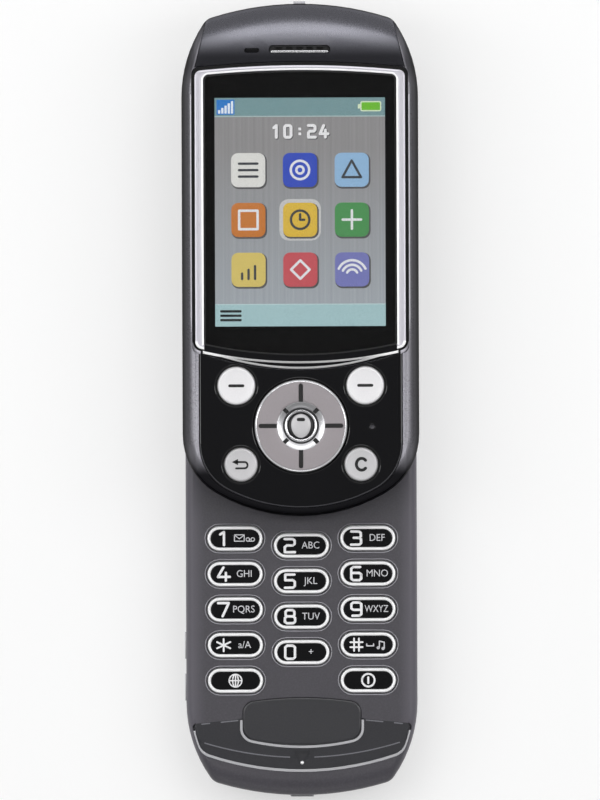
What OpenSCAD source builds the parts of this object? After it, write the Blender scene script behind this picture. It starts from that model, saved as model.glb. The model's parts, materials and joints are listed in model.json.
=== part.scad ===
// Swivel phone: a display half that turns over a keypad half about one upright axis.
// Millimetres. The swivel axis is Z through the origin and Z = 0 is the back face.
// +Y runs from the keypad to the earpiece. The phone is drawn open, as it is used.

/* [Housing] */
// Width of the display half
body_w = 48.5; // [48:0.5:58.5]
// How much narrower the keypad half is on each side
side_step = 0.5; // [0.3:0.1:0.8]
// Distance from the swivel axis to the far end of each half
far_reach = 81.2; // [80:0.2:98]
// Distance from the swivel axis to the round end of each half
near_reach = 23.8; // [23.4:0.2:26]
// Thickness of the moulded walls
wall = 1.4; // [1.2:0.1:1.7]
// Height of the display half
upper_h = 10.7; // [10.5:0.1:12.9]
// Height of the front moulding of the keypad half
front_h = 5.6; // [5.6:0.1:6.8]
// Thickness of the keypad face
deck_t = 1.8; // [1.6:0.1:2.1]
// Running space between the two halves
swivel_gap = 0.5; // [0.45:0.05:0.9]
// Parting line between mouldings
seam = 0.1; // [0.05:0.05:0.2]

/* [Display] */
// Width of the lit display area
lcd_w = 34.9; // [30:0.1:35]
// Height of the lit display area
lcd_h = 46.8; // [40:0.1:47]
// Width of the dark side rail beside the bezel
rail_w = 2.05; // [1.8:0.05:2.4]
// Dark line between the side rail and the bezel
bezel_gap = 0.5; // [0.3:0.05:0.7]
// Width of the bezel at the sides
bezel_side = 2.1; // [1.6:0.1:2.5]
// Width of the bezel at the top
bezel_top_w = 1.2; // [0.9:0.1:1.5]
// Width of the bezel under the window
bezel_foot = 0.75; // [0.6:0.05:0.9]
// Distance from the far end to the top of the bezel
bezel_drop = 12.35; // [12:0.05:13]
// Height of the window's lower edge above the swivel axis
window_low = 8.4; // [8.2:0.1:9]
// Thickness of the window
window_t = 1.5; // [1.2:0.1:1.7]

/* [Display half keys] */
// Distance from the swivel axis down to the middle of the navigation disc
nav_drop = 5.3; // [5:0.1:5.6]
// Diameter of the navigation disc
nav_d = 19; // [16:0.1:19]
// Tilt of the navigation disc to each side in degrees
nav_tilt = 2.5; // [1:0.1:2.5]
// Diameter of the centre button
select_d = 5.1; // [4.2:0.1:5.4]
// Diameter of the two soft keys
soft_d = 7.7; // [6.4:0.1:7.8]
// Diameter of the return and clear keys
small_d = 6.8; // [5.6:0.1:7]
// Travel of a round key
round_travel = 0.4; // [0.3:0.05:0.45]

/* [Keypad] */
// Length of a keypad key
key_len = 11.4; // [9.5:0.1:12]
// Width of a keypad key
key_wid = 5; // [4.2:0.1:5.9]
// Distance between key columns
key_pitch_x = 13.64; // [13:0.02:14]
// Distance between key rows
key_pitch_y = 7.3; // [7:0.1:7.4]
// How far the middle column sits below the outer ones
key_mid_drop = 1.5; // [0:0.1:1.7]
// Width of the bright rim of a key
key_rim = 0.68; // [0.5:0.02:0.9]
// Travel of a keypad key
key_travel = 0.5; // [0.3:0.05:0.5]
// Clearance around a key in its opening
key_clear = 0.18; // [0.12:0.02:0.25]

/* [Swivel] */
// Outer radius of the hollow hub
hub_r = 8; // [6.8:0.1:9.6]
// Wall of the hollow hub
hub_wall = 2.2; // [1.8:0.1:2.6]
// Radial running clearance of the rotor on the hub
hub_clear = 0.05; // [0.03:0.01:0.09]
// Thickness of the rotor plate
rotor_t = 1.1; // [0.9:0.1:1.2]
// Swivel range in degrees
swivel_range = 180; // [90:5:180]

/* [Battery and camera] */
// Length of the battery
battery_l = 52; // [44:0.5:53]
// Width of the battery
battery_w = 34; // [28:0.5:34.5]
// Thickness of the battery
battery_t = 5.3; // [4.5:0.1:6.5]
// Thickness of the battery cover
cover_t = 1.2; // [1:0.1:1.4]
// Outer diameter of the lens ring
lens_d = 13.2; // [11:0.1:14]
// Camera position across the back
lens_x = 8.5; // [8:0.1:9.5]

/* [Hidden] */
$fn = 64;
free = 0.08;
lift = 0.3;

// Outline of a half: near arc, near corner, straight side, tapering flank, far corner, far arc
half_u = body_w / 2;
half_l = half_u - side_step;
near_r = 34;
near_corner_r = 14;
flank_len = 19.2;
flank_r = 27.5;
tip_r = 3.2;
end_r = 60;

// Heights, from the back face up
battery_z = cover_t + 0.15;
rear_top = battery_z + battery_t + 0.95;
cover_top = 3.2;
sill_t = 1.1;
floor_t = 1.5;
deck_z0 = rear_top + seam;
deck_z = deck_z0 + front_h;
deck_under = deck_z - deck_t;
upper_z0 = deck_z + swivel_gap;
tray_floor = 1.3;
tray_top = upper_z0 + 4.6;
frame_z0 = tray_top + seam;
crest_z = upper_z0 + upper_h;
web_top = crest_z - 2.3;
web_t = 1;
ledge_z = web_top - 1;
panel_top = web_top + 1.6;
bezel_z = crest_z - 0.35;
board_t = 0.8;
upper_board_z = tray_top - 0.4;

// Rounding of each half: [height, inset] pairs, with the far end drawn in by a factor
crown_h = 3.9;
frame_in = 2.6;
frame_k = 4.2;
deck_crown = 1.9;
deck_in = 1.7;
deck_k = 2;
back_foot = 3.4;
back_in = 3.2;
back_k = 1.4;
tray_foot = 1.4;
function crown(z0, z1, d) =
    [for (i = [0:7]) let (t = i * 90 / 7) [z0 + (z1 - z0) * sin(t), d * (1 - cos(t))]];
function foot(z0, z1, d) =
    [for (i = [7:-1:0]) let (t = i * 90 / 7) [z1 - (z1 - z0) * sin(t), d * (1 - cos(t))]];
frame_levels = concat([[frame_z0, 0]], crown(crest_z - crown_h, crest_z, frame_in));
tray_levels = concat(foot(upper_z0, upper_z0 + tray_foot, tray_foot), [[tray_top, 0]]);
deck_levels = concat([[deck_z0, 0]], crown(deck_z - deck_crown, deck_z, deck_in));
back_levels = concat(foot(0, back_foot, back_in), [[rear_top, 0]]);

// Front layout of the display half
bezel_top = far_reach - bezel_drop;
top_arc_r = 205;
window_arc_r = 92.5;
bezel_half = half_u - rail_w - bezel_gap;
window_half = bezel_half - bezel_side;
cap_half = half_u - 3.05;
cap_lean = 0.25;
cap_edge = bezel_top + bezel_gap;
lcd_y = bezel_top - 6.95 - lcd_h / 2;
panel_half = half_u - 3.45;
panel_near = near_reach - 1.75;
panel_arc_r = 62;
panel_edge = 6.2;
trim_w = 0.6;
slot_y = far_reach - 9.4;
slot_l = 12.6;
slot_w = 1.7;
lamp = [-9.8, far_reach - 9.6];
nub_w = 2.4;
nub_out = 0.5;
boss_r = 1.6;
boss_u = [for (x = [-1, 1], y = [lcd_y + 18, lcd_y - 24]) [x * (half_u - wall - 0.35 - boss_r), y]];
hear_hole = [14.6, -5.5];

// Round keys: [name, x, y, diameter]
ROUND_KEYS = [
    ["left_soft_key", -13.2, 2.95, soft_d], ["right_soft_key", 13.2, 2.95, soft_d],
    ["back_key", -12.3, -13.2, small_d], ["clear_key", 12.3, -13.2, small_d]
];
flange_out = 0.4;
nav_c = [0, -nav_drop];
nav_z = web_top - 0.2;
nav_under = web_top + nav_d / 2 * sin(nav_tilt) + 0.33;
round_stem_z = upper_board_z + board_t + 0.8 + round_travel;

// Keypad keys: [name, column, row]
PAD_KEYS = [
    ["key_1", -1, 0], ["key_2", 0, 0], ["key_3", 1, 0],
    ["key_4", -1, 1], ["key_5", 0, 1], ["key_6", 1, 1],
    ["key_7", -1, 2], ["key_8", 0, 2], ["key_9", 1, 2],
    ["key_star", -1, 3], ["key_0", 0, 3], ["key_hash", 1, 3],
    ["key_web", -1, 4], ["key_power", 1, 4]
];
key_row_y = -(near_reach + 4.6);
function key_at(k) =
    [k[1] * key_pitch_x, key_row_y - k[2] * key_pitch_y - (k[1] == 0 ? key_mid_drop : 0)];
key_top = deck_z + 0.2;
key_flange_top = deck_under - lift;
key_flange_t = 0.7;
key_z0 = key_flange_top - key_flange_t;
key_flange = 0.5;
well_grow = 0.6;
well_t = 0.4;
mat_top = rear_top + board_t + 0.6;

// Lower end of the keypad half
tab_half = 12.15;
tab_top = -(far_reach - 20.1);
tab_low = -(far_reach - 10.3);
tab_arc_r = 47;
tab_bow_r = 70;
tab_floor = deck_z - 0.9;
chin_top = -(far_reach - 15.7);
chin_far = far_reach - 4.8;
chin_half = half_l - 0.75;
chin_floor = deck_z - 1.2;
crease_y = -(chin_far - 3);
crease_r = 68;
strip_w = 0.55;
tab_strip_w = 0.5;

// Swivel parts
base_t = 0.9;
base_r = hub_r + 8;
rotor_r = hub_r + 7;
stop_in = hub_r + 1.9;
stop_out = stop_in + 1.7;
stop_half = 7;
stop_at = 98;
port_r = stop_out + 0.7;
ring_in = base_r + 1.4;
ring_out = ring_in + 3;
ring_depth = 0.6;
rotor_z = upper_z0 + tray_floor;
washer_z = rotor_z + rotor_t;
shoulder_z = washer_z + 0.5;
keeper_t = 0.65;
hub_top = shoulder_z + keeper_t + 0.15;
stud_r = 0.9;
stud_at = hub_r + 6.3;

// Back and sides
cover_low = -50;
bay_y = -20;
boss_l = [[-19.4, -(near_reach - 1.3)], [19.4, -(near_reach - 1.3)], [-17, 12.6], [17, 12.6]];
lens_y = -(far_reach - 16.2);
light_x = -2.2;
speaker_x = -11.5;
speaker_r = 6.2;
hook_x = battery_w / 2 + 2.6;
hook_w = 3.4;
side_z0 = deck_z0 + 0.8;
side_h = 2.2;
side_out = 0.2;
rocker_y = -54.65;
rocker_l = 14.1;
rocker_pad = 5.5;
rocker_axis = -(half_l - wall - 0.94);
shutter_y = -1.75;
shutter_l = 6.5;
link_w = 14.6;
link_h = 3;
link_z = 3.3;

// Shared forms

function arc(c, r, a0, a1, n, first = 0) =
    [for (i = [first:n]) let (a = a0 + (a1 - a0) * i / n) c + r * [cos(a), sin(a)]];

// The crossing of two circles that lies to the left of the line from c1 to c2
function meet(c1, r1, c2, r2) = let (
        span = norm(c2 - c1), u = (c2 - c1) / span,
        along = (r1 * r1 - r2 * r2 + span * span) / (2 * span),
        side = sqrt(r1 * r1 - along * along))
    c1 + along * u + side * [-u.y, u.x];

function outline(half, far, near) = let (
        rn = near_r - near_reach + near, cn = [0, rn - near],
        rc = near_corner_r - half_u + half,
        cc = [half - rc, cn.y - sqrt(pow(rn - rc, 2) - pow(half - rc, 2))],
        an = atan2(cc.y - cn.y, cc.x),
        cf = [half_u - flank_r, far_reach - flank_len], rf = half - cf.x,
        ce = [0, far - end_r],
        ct = meet(cf, rf - tip_r, ce, end_r - tip_r),
        af = atan2(ct.y - cf.y, ct.x - cf.x), ae = atan2(ct.y - ce.y, ct.x - ce.x),
        right = concat(arc(cn, rn, -90, an, 6), arc(cc, rc, an, 0, 8, 1), arc(cf, rf, 0, af, 8),
                       arc(ct, tip_r, af, ae, 4, 1), arc(ce, end_r, ae, 90, 7, 1)))
    concat(right, [for (i = [len(right) - 2:-1:1]) [-right[i].x, right[i].y]]);

// A solid skin over rings of equal point count, lowest ring first
module loft(rings) {
    n = len(rings[0]);
    m = len(rings);
    polyhedron(
        points = [for (r = rings) each r],
        faces = concat(
            [[for (i = [0:n - 1]) i], [for (i = [n - 1:-1:0]) (m - 1) * n + i]],
            [for (j = [0:m - 2], i = [0:n - 1]) let (k = (i + 1) % n)
                each [[(j + 1) * n + i, (j + 1) * n + k, j * n + k],
                      [(j + 1) * n + i, j * n + k, j * n + i]]]));
}

module half_body(levels, half, k)
    loft([for (l = levels)
        [for (p = outline(half - l[1], far_reach - k * l[1], near_reach - l[1])) [p.x, p.y, l[0]]]]);

module upper_2d(inset = 0)
    polygon(outline(half_u - inset, far_reach - inset, near_reach - inset));

module lower_2d(inset = 0)
    rotate(180) polygon(outline(half_l - inset, far_reach - inset, near_reach - inset));

module frame_body() half_body(frame_levels, half_u, frame_k);
module deck_body() rotate(180) half_body(deck_levels, half_l, deck_k);
module back_body() rotate(180) half_body(back_levels, half_l, back_k);

module slab(z0, z1) translate([0, 0, z0]) linear_extrude(z1 - z0) children();

module pill(l, w) {
    square([l - w, w], center = true);
    for (s = [-1, 1]) translate([s * (l - w) / 2, 0]) circle(d = w);
}

// A long button with a bevelled top edge
module bevelled_pill(l, w, z0, z1, c) {
    side = [[w / 2, z0], [w / 2, z1 - c], [w / 2 - c, z1]];
    for (s = [-1, 1]) translate([s * (l - w) / 2, 0, 0])
        rotate_extrude() polygon(concat([[0, z0]], side, [[0, z1]]));
    rotate([90, 0, 90]) linear_extrude(l - w, center = true)
        polygon(concat(side, [for (i = [2:-1:0]) [-side[i].x, side[i].y]]));
}

module above(y) translate([-100, y]) square([200, 200]);
module below(y) translate([-100, y - 200]) square([200, 200]);

module big_circle(y, r) translate([0, y]) circle(r, $fn = 360);

module rounded(r) offset(r) offset(delta = -r) children();

// Front layout of the display half

module bezel_2d()
    rounded(1.1) intersection() {
        translate([-bezel_half, 0]) square([2 * bezel_half, far_reach]);
        big_circle(bezel_top - top_arc_r, top_arc_r);
        big_circle(window_low + window_arc_r, window_arc_r + bezel_foot);
    }

module window_2d()
    rounded(0.9) intersection() {
        translate([-window_half, 0]) square([2 * window_half, far_reach]);
        big_circle(bezel_top - bezel_top_w - top_arc_r, top_arc_r);
        big_circle(window_low + window_arc_r, window_arc_r);
    }

module panel_area_2d(grow = 0)
    intersection() {
        polygon(outline(panel_half + grow, far_reach - 10, panel_near + grow));
        below(window_low + 4);
    }

module key_panel_2d()
    difference() {
        panel_area_2d();
        big_circle(panel_edge + panel_arc_r, panel_arc_r + free);
        offset(delta = free) bezel_2d();
    }

module cap_2d(grow = 0)
    difference() {
        polygon([for (p = [[-1, -5], [1, -5], [1, 17], [-1, 17]])
            [p[0] * (cap_half + grow - cap_lean * p[1]), cap_edge + p[1]]]);
        big_circle(cap_edge - grow - top_arc_r, top_arc_r);
    }

// Display half

module upper_frame()
    color([0.27, 0.27, 0.29])
    difference() {
        union() {
            difference() {
                frame_body();
                slab(frame_z0 - 1, ledge_z - web_t) upper_2d(wall);
                slab(frame_z0 - 1, web_top - web_t)
                    intersection() { upper_2d(wall); below(cap_edge - 3.5); }
            }
            for (p = boss_u) translate([p.x, p.y, 0])
                slab(upper_z0 + tray_floor + 0.1, web_top - web_t / 2) circle(boss_r);
            translate([-nub_w / 2, far_reach - wall, frame_z0 + 0.3])
                cube([nub_w, wall + nub_out, 1.5]);
        }
        slab(ledge_z, crest_z + 1) cap_2d(free);
        slab(web_top, crest_z + 1) {
            offset(delta = bezel_gap) bezel_2d();
            panel_area_2d(free);
        }
        translate([0, lcd_y, web_top - 3]) linear_extrude(4) square([lcd_w + 1, lcd_h + 1], center = true);
        translate([0, slot_y, ledge_z - 3]) linear_extrude(4) pill(slot_l - 2, slot_w);
        slab(web_top - 3, web_top + 1) {
            for (k = ROUND_KEYS) translate([k[1], k[2]]) circle(k[3] / 2 + flange_out + 0.2);
            translate(nav_c) circle(select_d / 2 + 2.85);
        }
        for (p = boss_u) translate([p.x, p.y, upper_z0]) cylinder(r = 0.82, h = 5.6);
    }

module earpiece_cap()
    color([0.22, 0.22, 0.24])
    difference() {
        intersection() {
            frame_body();
            slab(ledge_z + seam / 2, crest_z + 1) cap_2d();
        }
        translate([0, slot_y, ledge_z - 1]) linear_extrude(6) pill(slot_l, slot_w);
        translate([lamp.x, lamp.y, ledge_z - 1]) linear_extrude(6) pill(3.1, 0.95);
    }

// Slotted plate behind the earpiece opening, with a bright bar along its lower edge
module earpiece_grille()
    color([0.75, 0.75, 0.77])
    translate([0, slot_y, ledge_z + seam / 2])
    difference() {
        union() {
            linear_extrude(1.1) pill(slot_l - 2 * free, slot_w - 2 * free);
            intersection() {
                linear_extrude(2.85) pill(slot_l - 2 * free, slot_w - 2 * free);
                translate([-slot_l, -slot_w / 2, 0]) cube([2 * slot_l, 0.5, 3]);
            }
        }
        for (x = [-4:1.6:4]) translate([x, 0.25, -1]) linear_extrude(4) pill(1.1, 0.6);
    }

module indicator_window()
    color([0.05, 0.05, 0.06])
    translate([lamp.x, lamp.y, ledge_z + seam / 2])
        linear_extrude(2.9) pill(3.1 - 2 * free, 0.95 - 2 * free);

module bezel_ring_2d(d)
    difference() {
        offset(delta = -d) bezel_2d();
        offset(delta = free + d) window_2d();
    }

// Bezel with a raised middle
module display_bezel()
    color([0.80, 0.80, 0.83])
    union() {
        slab(web_top, bezel_z - 0.2) bezel_ring_2d(0);
        slab(web_top, bezel_z) bezel_ring_2d(0.25);
    }

module display_window()
    color([0.04, 0.04, 0.05])
    slab(web_top, web_top + window_t) window_2d();

module display_panel()
    color([0.55, 0.57, 0.60])
    translate([-(lcd_w + 2.6) / 2, lcd_y - lcd_h / 2 - 4, upper_board_z + board_t + 0.05])
        cube([lcd_w + 2.6, lcd_h + 5.5, web_top - web_t - 0.1 - upper_board_z - board_t]);

module key_panel()
    color([0.04, 0.04, 0.05])
    difference() {
        slab(web_top, panel_top) key_panel_2d();
        for (k = ROUND_KEYS) translate([k[1], k[2], web_top - 1]) {
            cylinder(d = k[3] + 2 * key_clear, h = 5);
            cylinder(d = k[3] + 2 * flange_out + 0.4, h = 1.6);
        }
        translate([nav_c.x, nav_c.y, web_top - 1]) cylinder(d = nav_d + 0.7, h = 5);
        translate([hear_hole.x, hear_hole.y, web_top - 1]) cylinder(d = 0.9, h = 5);
    }

module crescent_2d()
    difference() {
        intersection() {
            panel_area_2d();
            big_circle(panel_edge + panel_arc_r, panel_arc_r);
        }
        offset(delta = free) bezel_2d();
    }

// Bright crescent under the bezel, with a ridge along its lower edge
module key_panel_trim()
    color([0.85, 0.85, 0.87])
    union() {
        slab(web_top, panel_top - 0.15) crescent_2d();
        slab(web_top, panel_top + 0.2)
            difference() {
                crescent_2d();
                big_circle(panel_edge + panel_arc_r, panel_arc_r - trim_w);
            }
    }

module upper_key_mat()
    color([0.70, 0.70, 0.68])
    union() {
        slab(upper_board_z + board_t, upper_board_z + board_t + 0.6)
            intersection() {
                polygon(outline(half_u - 6, far_reach - 10, near_reach - 4.8));
                below(lcd_y - lcd_h / 2 - 6);
            }
        for (k = ROUND_KEYS) translate([k[1], k[2], upper_board_z + board_t + 0.5])
            cylinder(r = 1.5, h = 0.3);
    }

module upper_circuit_board()
    color([0.10, 0.32, 0.20])
    slab(upper_board_z, upper_board_z + board_t)
        polygon(outline(half_u - 5.4, far_reach - 4.5, near_reach - 4));

module earpiece_capsule()
    color([0.35, 0.35, 0.36])
    translate([0, slot_y, 0])
        slab(upper_board_z + board_t + 0.05, ledge_z - web_t - 0.05) pill(13, 6.5);

module upper_rear_cover()
    color([0.24, 0.24, 0.26])
    difference() {
        half_body(tray_levels, half_u, 1.4);
        slab(upper_z0 + tray_floor, tray_top + 1) upper_2d(wall);
        translate([0, 0, upper_z0 - 1]) cylinder(r = port_r + 0.1, h = 4);
        for (p = boss_u) translate([p.x, p.y, upper_z0 - 1]) {
            cylinder(r = 1.45, h = 1.8);
            cylinder(r = 0.95, h = 4);
        }
        for (a = [30:90:300]) rotate(a) translate([stud_at, 0, upper_z0 + 0.3])
            cylinder(r = stud_r + 0.05, h = 3);
    }

module upper_screws()
    color([0.60, 0.60, 0.62])
    for (p = boss_u) translate([p.x, p.y, upper_z0]) screw(1.35, 0.1, 0.65, 5);

module screw(head_r, z0, head_t, length)
    difference() {
        union() {
            translate([0, 0, z0]) cylinder(r = head_r, h = head_t);
            translate([0, 0, z0]) cylinder(r = 0.8, h = length);
        }
        for (a = [0, 90]) rotate(a) translate([-head_r * 0.6, -0.15, z0 - 1]) cube([head_r * 1.2, 0.3, 1.3]);
    }

// A round key: bevelled cap, flange held under the panel, stem above the mat
module round_key(k)
    color([0.72, 0.71, 0.72])
    translate([k[1], k[2], 0])
    rotate_extrude()
    polygon([
        [0, round_stem_z], [1.1, round_stem_z],
        [1.1, web_top - 0.25], [k[3] / 2 + flange_out, web_top - 0.25],
        [k[3] / 2 + flange_out, web_top + 0.3], [k[3] / 2, web_top + 0.3],
        [k[3] / 2, panel_top - 0.1], [k[3] / 2 - 0.45, panel_top + 0.25], [0, panel_top + 0.3]
    ]);

// Rubber ring that carries the navigation disc and tips forward and back
module nav_pivot_pad()
    color([0.15, 0.15, 0.15])
    translate([nav_c.x, nav_c.y, upper_board_z + board_t + 1])
    difference() {
        cylinder(r = select_d / 2 + 2.35, h = nav_z - 0.1 - upper_board_z - board_t - 1);
        translate([0, 0, -1]) cylinder(r = select_d / 2 + 1.35, h = 9);
    }

module nav_disc()
    color([0.58, 0.56, 0.57])
    translate([nav_c.x, nav_c.y, 0])
    difference() {
        rotate_extrude()
        polygon([
            [select_d / 2 + 0.2, web_top], [select_d / 2 + 2.05, web_top],
            [select_d / 2 + 2.05, nav_under], [nav_d / 2 - 0.3, nav_under],
            [nav_d / 2, nav_under + 0.3], [nav_d / 2, panel_top + 0.05],
            [nav_d / 2 - 0.5, panel_top + 0.3], [select_d / 2 + 2.45, panel_top + 0.35],
            [select_d / 2 + 1.5, panel_top + 0.1], [select_d / 2 + 0.7, panel_top - 0.45],
            [select_d / 2 + 0.2, panel_top - 0.45]
        ]);
        for (a = [0:90:270]) rotate(a) translate([nav_d / 2 - 2.85, 0, panel_top + 0.1])
            linear_extrude(2) pill(4, 0.8);
    }

module select_button()
    color([0.75, 0.75, 0.76])
    translate([nav_c.x, nav_c.y, 0])
    difference() {
        union() {
            rotate_extrude()
            polygon([
                [0, round_stem_z], [1.2, round_stem_z],
                [1.2, nav_z - 0.65], [select_d / 2 + 0.85, nav_z - 0.65], [select_d / 2 + 0.85, nav_z - 0.1],
                [select_d / 2, nav_z - 0.1], [select_d / 2, panel_top - 0.35],
                [select_d / 2 - 0.2, panel_top - 0.15], [0, panel_top - 0.15]
            ]);
            rotate(90) bevelled_pill(select_d - 0.1, select_d - 1.3, panel_top - 0.5, panel_top + 0.6, 0.4);
        }
        translate([0, select_d / 2 - 1.15, panel_top + 0.45]) linear_extrude(2) pill(1.3, 0.45);
    }

// Swivel

// Steel plate under the keypad face, with the hollow hub and the stop
module swivel_base()
    color([0.62, 0.63, 0.65])
    union() {
        difference() {
            union() {
                translate([0, 0, deck_under - base_t]) cylinder(r = base_r, h = base_t);
                translate([0, 0, deck_under - base_t]) cylinder(r = hub_r, h = shoulder_z - deck_under + base_t);
                translate([0, 0, deck_under]) cylinder(r = hub_r - 0.8, h = hub_top - deck_under);
            }
            translate([0, 0, deck_under - 2]) cylinder(r = hub_r - hub_wall, h = hub_top);
        }
        rotate(stop_at - stop_half) rotate_extrude(angle = 2 * stop_half)
            translate([stop_in, deck_under - base_t / 2])
                square([stop_out - stop_in, washer_z - 0.2 - deck_under + base_t / 2]);
        for (a = [0:90:270]) rotate(a) translate([stud_at, 0, deck_under - base_t / 2])
            cylinder(r = stud_r, h = base_t / 2 + 0.9);
    }

// Steel plate fixed in the display half; its arc slot runs past the stop
module swivel_rotor()
    color([0.66, 0.67, 0.69])
    difference() {
        union() {
            translate([0, 0, rotor_z]) cylinder(r = rotor_r, h = rotor_t);
            for (a = [30:90:300]) rotate(a) translate([stud_at, 0, rotor_z - 0.9])
                cylinder(r = stud_r, h = 1);
        }
        translate([0, 0, rotor_z - 1]) cylinder(r = hub_r + hub_clear, h = 4);
        rotate(stop_at - swivel_range - stop_half - 1)
            rotate_extrude(angle = swivel_range + 2 * stop_half + 2)
                translate([stop_in - 0.2, rotor_z - 0.5])
                    square([stop_out - stop_in + 0.4, rotor_t + 1]);
    }

module swivel_keeper()
    color([0.70, 0.71, 0.73])
    translate([0, 0, shoulder_z])
    difference() {
        cylinder(r = hub_r + 2.6, h = keeper_t);
        translate([0, 0, -1]) cylinder(r = hub_r - 0.8 + 0.03, h = 3);
    }

// Thin spring ring with three waves
module swivel_wave_washer() {
    n = 60;
    function at(r, i, z) = let (a = 360 * i / n)
        [r * cos(a), r * sin(a), washer_z + 0.25 + 0.09 * cos(3 * a) + z];
    function loop(r, z) = [for (i = [0:n - 1]) at(r, i, z)];
    color([0.72, 0.73, 0.75])
    polyhedron(
        points = concat(loop(hub_r + 0.3, -0.12), loop(hub_r + 2.3, -0.12),
                        loop(hub_r + 2.3, 0.12), loop(hub_r + 0.3, 0.12)),
        faces = [for (s = [0:3], i = [0:n - 1])
            let (t = (s + 1) % 4, k = (i + 1) % n)
            each [[s * n + i, t * n + k, s * n + k], [s * n + i, t * n + i, t * n + k]]]);
}

module swivel_slide_ring()
    color([0.85, 0.85, 0.82])
    translate([0, 0, deck_z - ring_depth])
    difference() {
        cylinder(r = ring_out, h = ring_depth + swivel_gap - 0.08);
        translate([0, 0, -1]) cylinder(r = ring_in, h = 4);
    }

// Flat cable from the main board up through the hollow hub
module swivel_ribbon()
    color([0.80, 0.50, 0.15])
    translate([-3, 0, rear_top + board_t]) {
        translate([0, -0.15, 0]) cube([6, 5.2, 0.25]);
        translate([0, -0.15, 0]) cube([6, 0.3, hub_top - 0.2 - rear_top - board_t]);
    }

// Keypad half

module tab_2d()
    rounded(2.4) intersection() {
        translate([-tab_half, tab_low - 5]) square([2 * tab_half, tab_top - tab_low + 5]);
        big_circle(tab_low + tab_arc_r, tab_arc_r);
        big_circle(tab_top - tab_bow_r, tab_bow_r);
    }

module chin_area_2d(inset = 0)
    rounded(0.8) intersection() {
        rotate(180) polygon(outline(chin_half - 0.6 * inset, chin_far - inset, near_reach));
        polygon([for (p = [[-30, -1.7], [-30, -50], [30, -50], [30, -1.7], [12.5, 0], [-12.5, 0]])
            [p.x, chin_top + p.y]]);
    }

module chin_2d()
    difference() {
        chin_area_2d(strip_w + free);
        offset(delta = tab_strip_w + 2 * free) tab_2d();
    }

module chin_strip_2d()
    intersection() {
        difference() {
            chin_area_2d();
            chin_area_2d(strip_w);
        }
        below(chin_top - 2.4);
    }

module tab_strip_2d()
    intersection() {
        difference() {
            offset(delta = tab_strip_w + free) tab_2d();
            offset(delta = free) tab_2d();
        }
        below(chin_top - 0.2);
    }

module keypad_cover()
    color([0.31, 0.30, 0.33])
    difference() {
        union() {
            difference() {
                deck_body();
                slab(deck_z0 - 1, deck_under) lower_2d(wall);
            }
            for (p = boss_l) translate([p.x, p.y, 0]) slab(deck_z0, deck_under + 0.3) circle(1.7);
        }
        for (k = PAD_KEYS) translate(key_at(k)) {
            slab(deck_under - 1, deck_z + 1) pill(key_len + 2 * key_clear, key_wid + 2 * key_clear);
            slab(deck_z - well_t, deck_z + 1) pill(key_len + 2 * well_grow, key_wid + 2 * well_grow);
        }
        translate([0, 0, deck_under - 1]) cylinder(r = port_r, h = 4);
        translate([0, 0, deck_z - ring_depth]) difference() {
            cylinder(r = ring_out + free, h = 2);
            translate([0, 0, -1]) cylinder(r = ring_in - free, h = 4);
        }
        for (a = [0:90:270]) rotate(a) translate([stud_at, 0, deck_under - 1])
            cylinder(r = stud_r + 0.05, h = 2);
        slab(tab_floor, deck_z + 1) {
            offset(delta = free) tab_2d();
            intersection() { offset(delta = tab_strip_w + 2 * free) tab_2d(); below(chin_top + 0.1); }
        }
        slab(chin_floor, deck_z + 1) chin_area_2d(-free);
        translate([-half_l - 3, rocker_y - rocker_l / 2 - 0.2, side_z0 - 0.2])
            cube([6, rocker_l + 0.4, side_h + 0.4]);
        translate([-half_l - 3, shutter_y - shutter_l / 2 - 0.15, side_z0 - 0.15])
            cube([6, shutter_l + 0.3, side_h + 0.3]);
        for (p = boss_l) translate([p.x, p.y, deck_z0 - 1]) cylinder(r = 0.82, h = 4.4);
    }

module name_tab()
    color([0.23, 0.23, 0.25])
    slab(tab_floor, deck_z + 0.2) tab_2d();

module chin_trim()
    color([0.20, 0.20, 0.22])
    difference() {
        intersection() {
            deck_body();
            slab(chin_floor, deck_z + 1) chin_2d();
        }
        slab(deck_z - 0.16, deck_z + 1)
            difference() { below(chin_top); big_circle(crease_y + crease_r, crease_r); }
        slab(deck_z - 0.5, deck_z + 1)
            polygon([for (p = [[-1.7, 4.2], [1.7, 4.2], [0.45, 1.3], [-0.45, 1.3]]) [p.x, p.y - chin_far]]);
        translate([0, -(chin_far - 1.9), chin_floor - 1]) cylinder(r = 0.35, h = 4);
        for (s = [-1, 1]) translate([s * 17.8, chin_top, deck_z - 0.3]) linear_extrude(2) pill(2, 1);
    }

// Bright wires: one under the name tab, one along the lower edge of the chin trim
module chin_strip()
    color([0.85, 0.85, 0.87]) {
        slab(tab_floor, deck_z + 0.2) tab_strip_2d();
        intersection() {
            translate([0, 0, 0.1]) deck_body();
            slab(chin_floor, deck_z + 1) chin_strip_2d();
        }
    }

module keypad_mat()
    color([0.70, 0.70, 0.68])
    union() {
        translate([-key_pitch_x - key_len / 2 - 0.8, key_at(PAD_KEYS[12]).y - 4, rear_top + board_t])
            cube([2 * key_pitch_x + key_len + 1.6, key_row_y - key_at(PAD_KEYS[12]).y + 7.2, 0.6]);
        for (k = PAD_KEYS) translate(key_at(k))
            slab(mat_top - 0.1, key_z0 - key_travel - 0.1) pill(key_len - 3, key_wid - 1.5);
    }

module main_circuit_board()
    color([0.10, 0.34, 0.22])
    union() {
        slab(rear_top, rear_top + board_t)
        difference() {
            rotate(180) polygon(outline(half_l - 3.1, far_reach - 3.7, near_reach - 3));
            for (p = boss_l) translate(p) circle(2.1);
        }
        translate([-13, -near_reach + 3.8, rear_top + board_t - 0.1]) cube([26, 14, 1.6]);
    }

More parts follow.
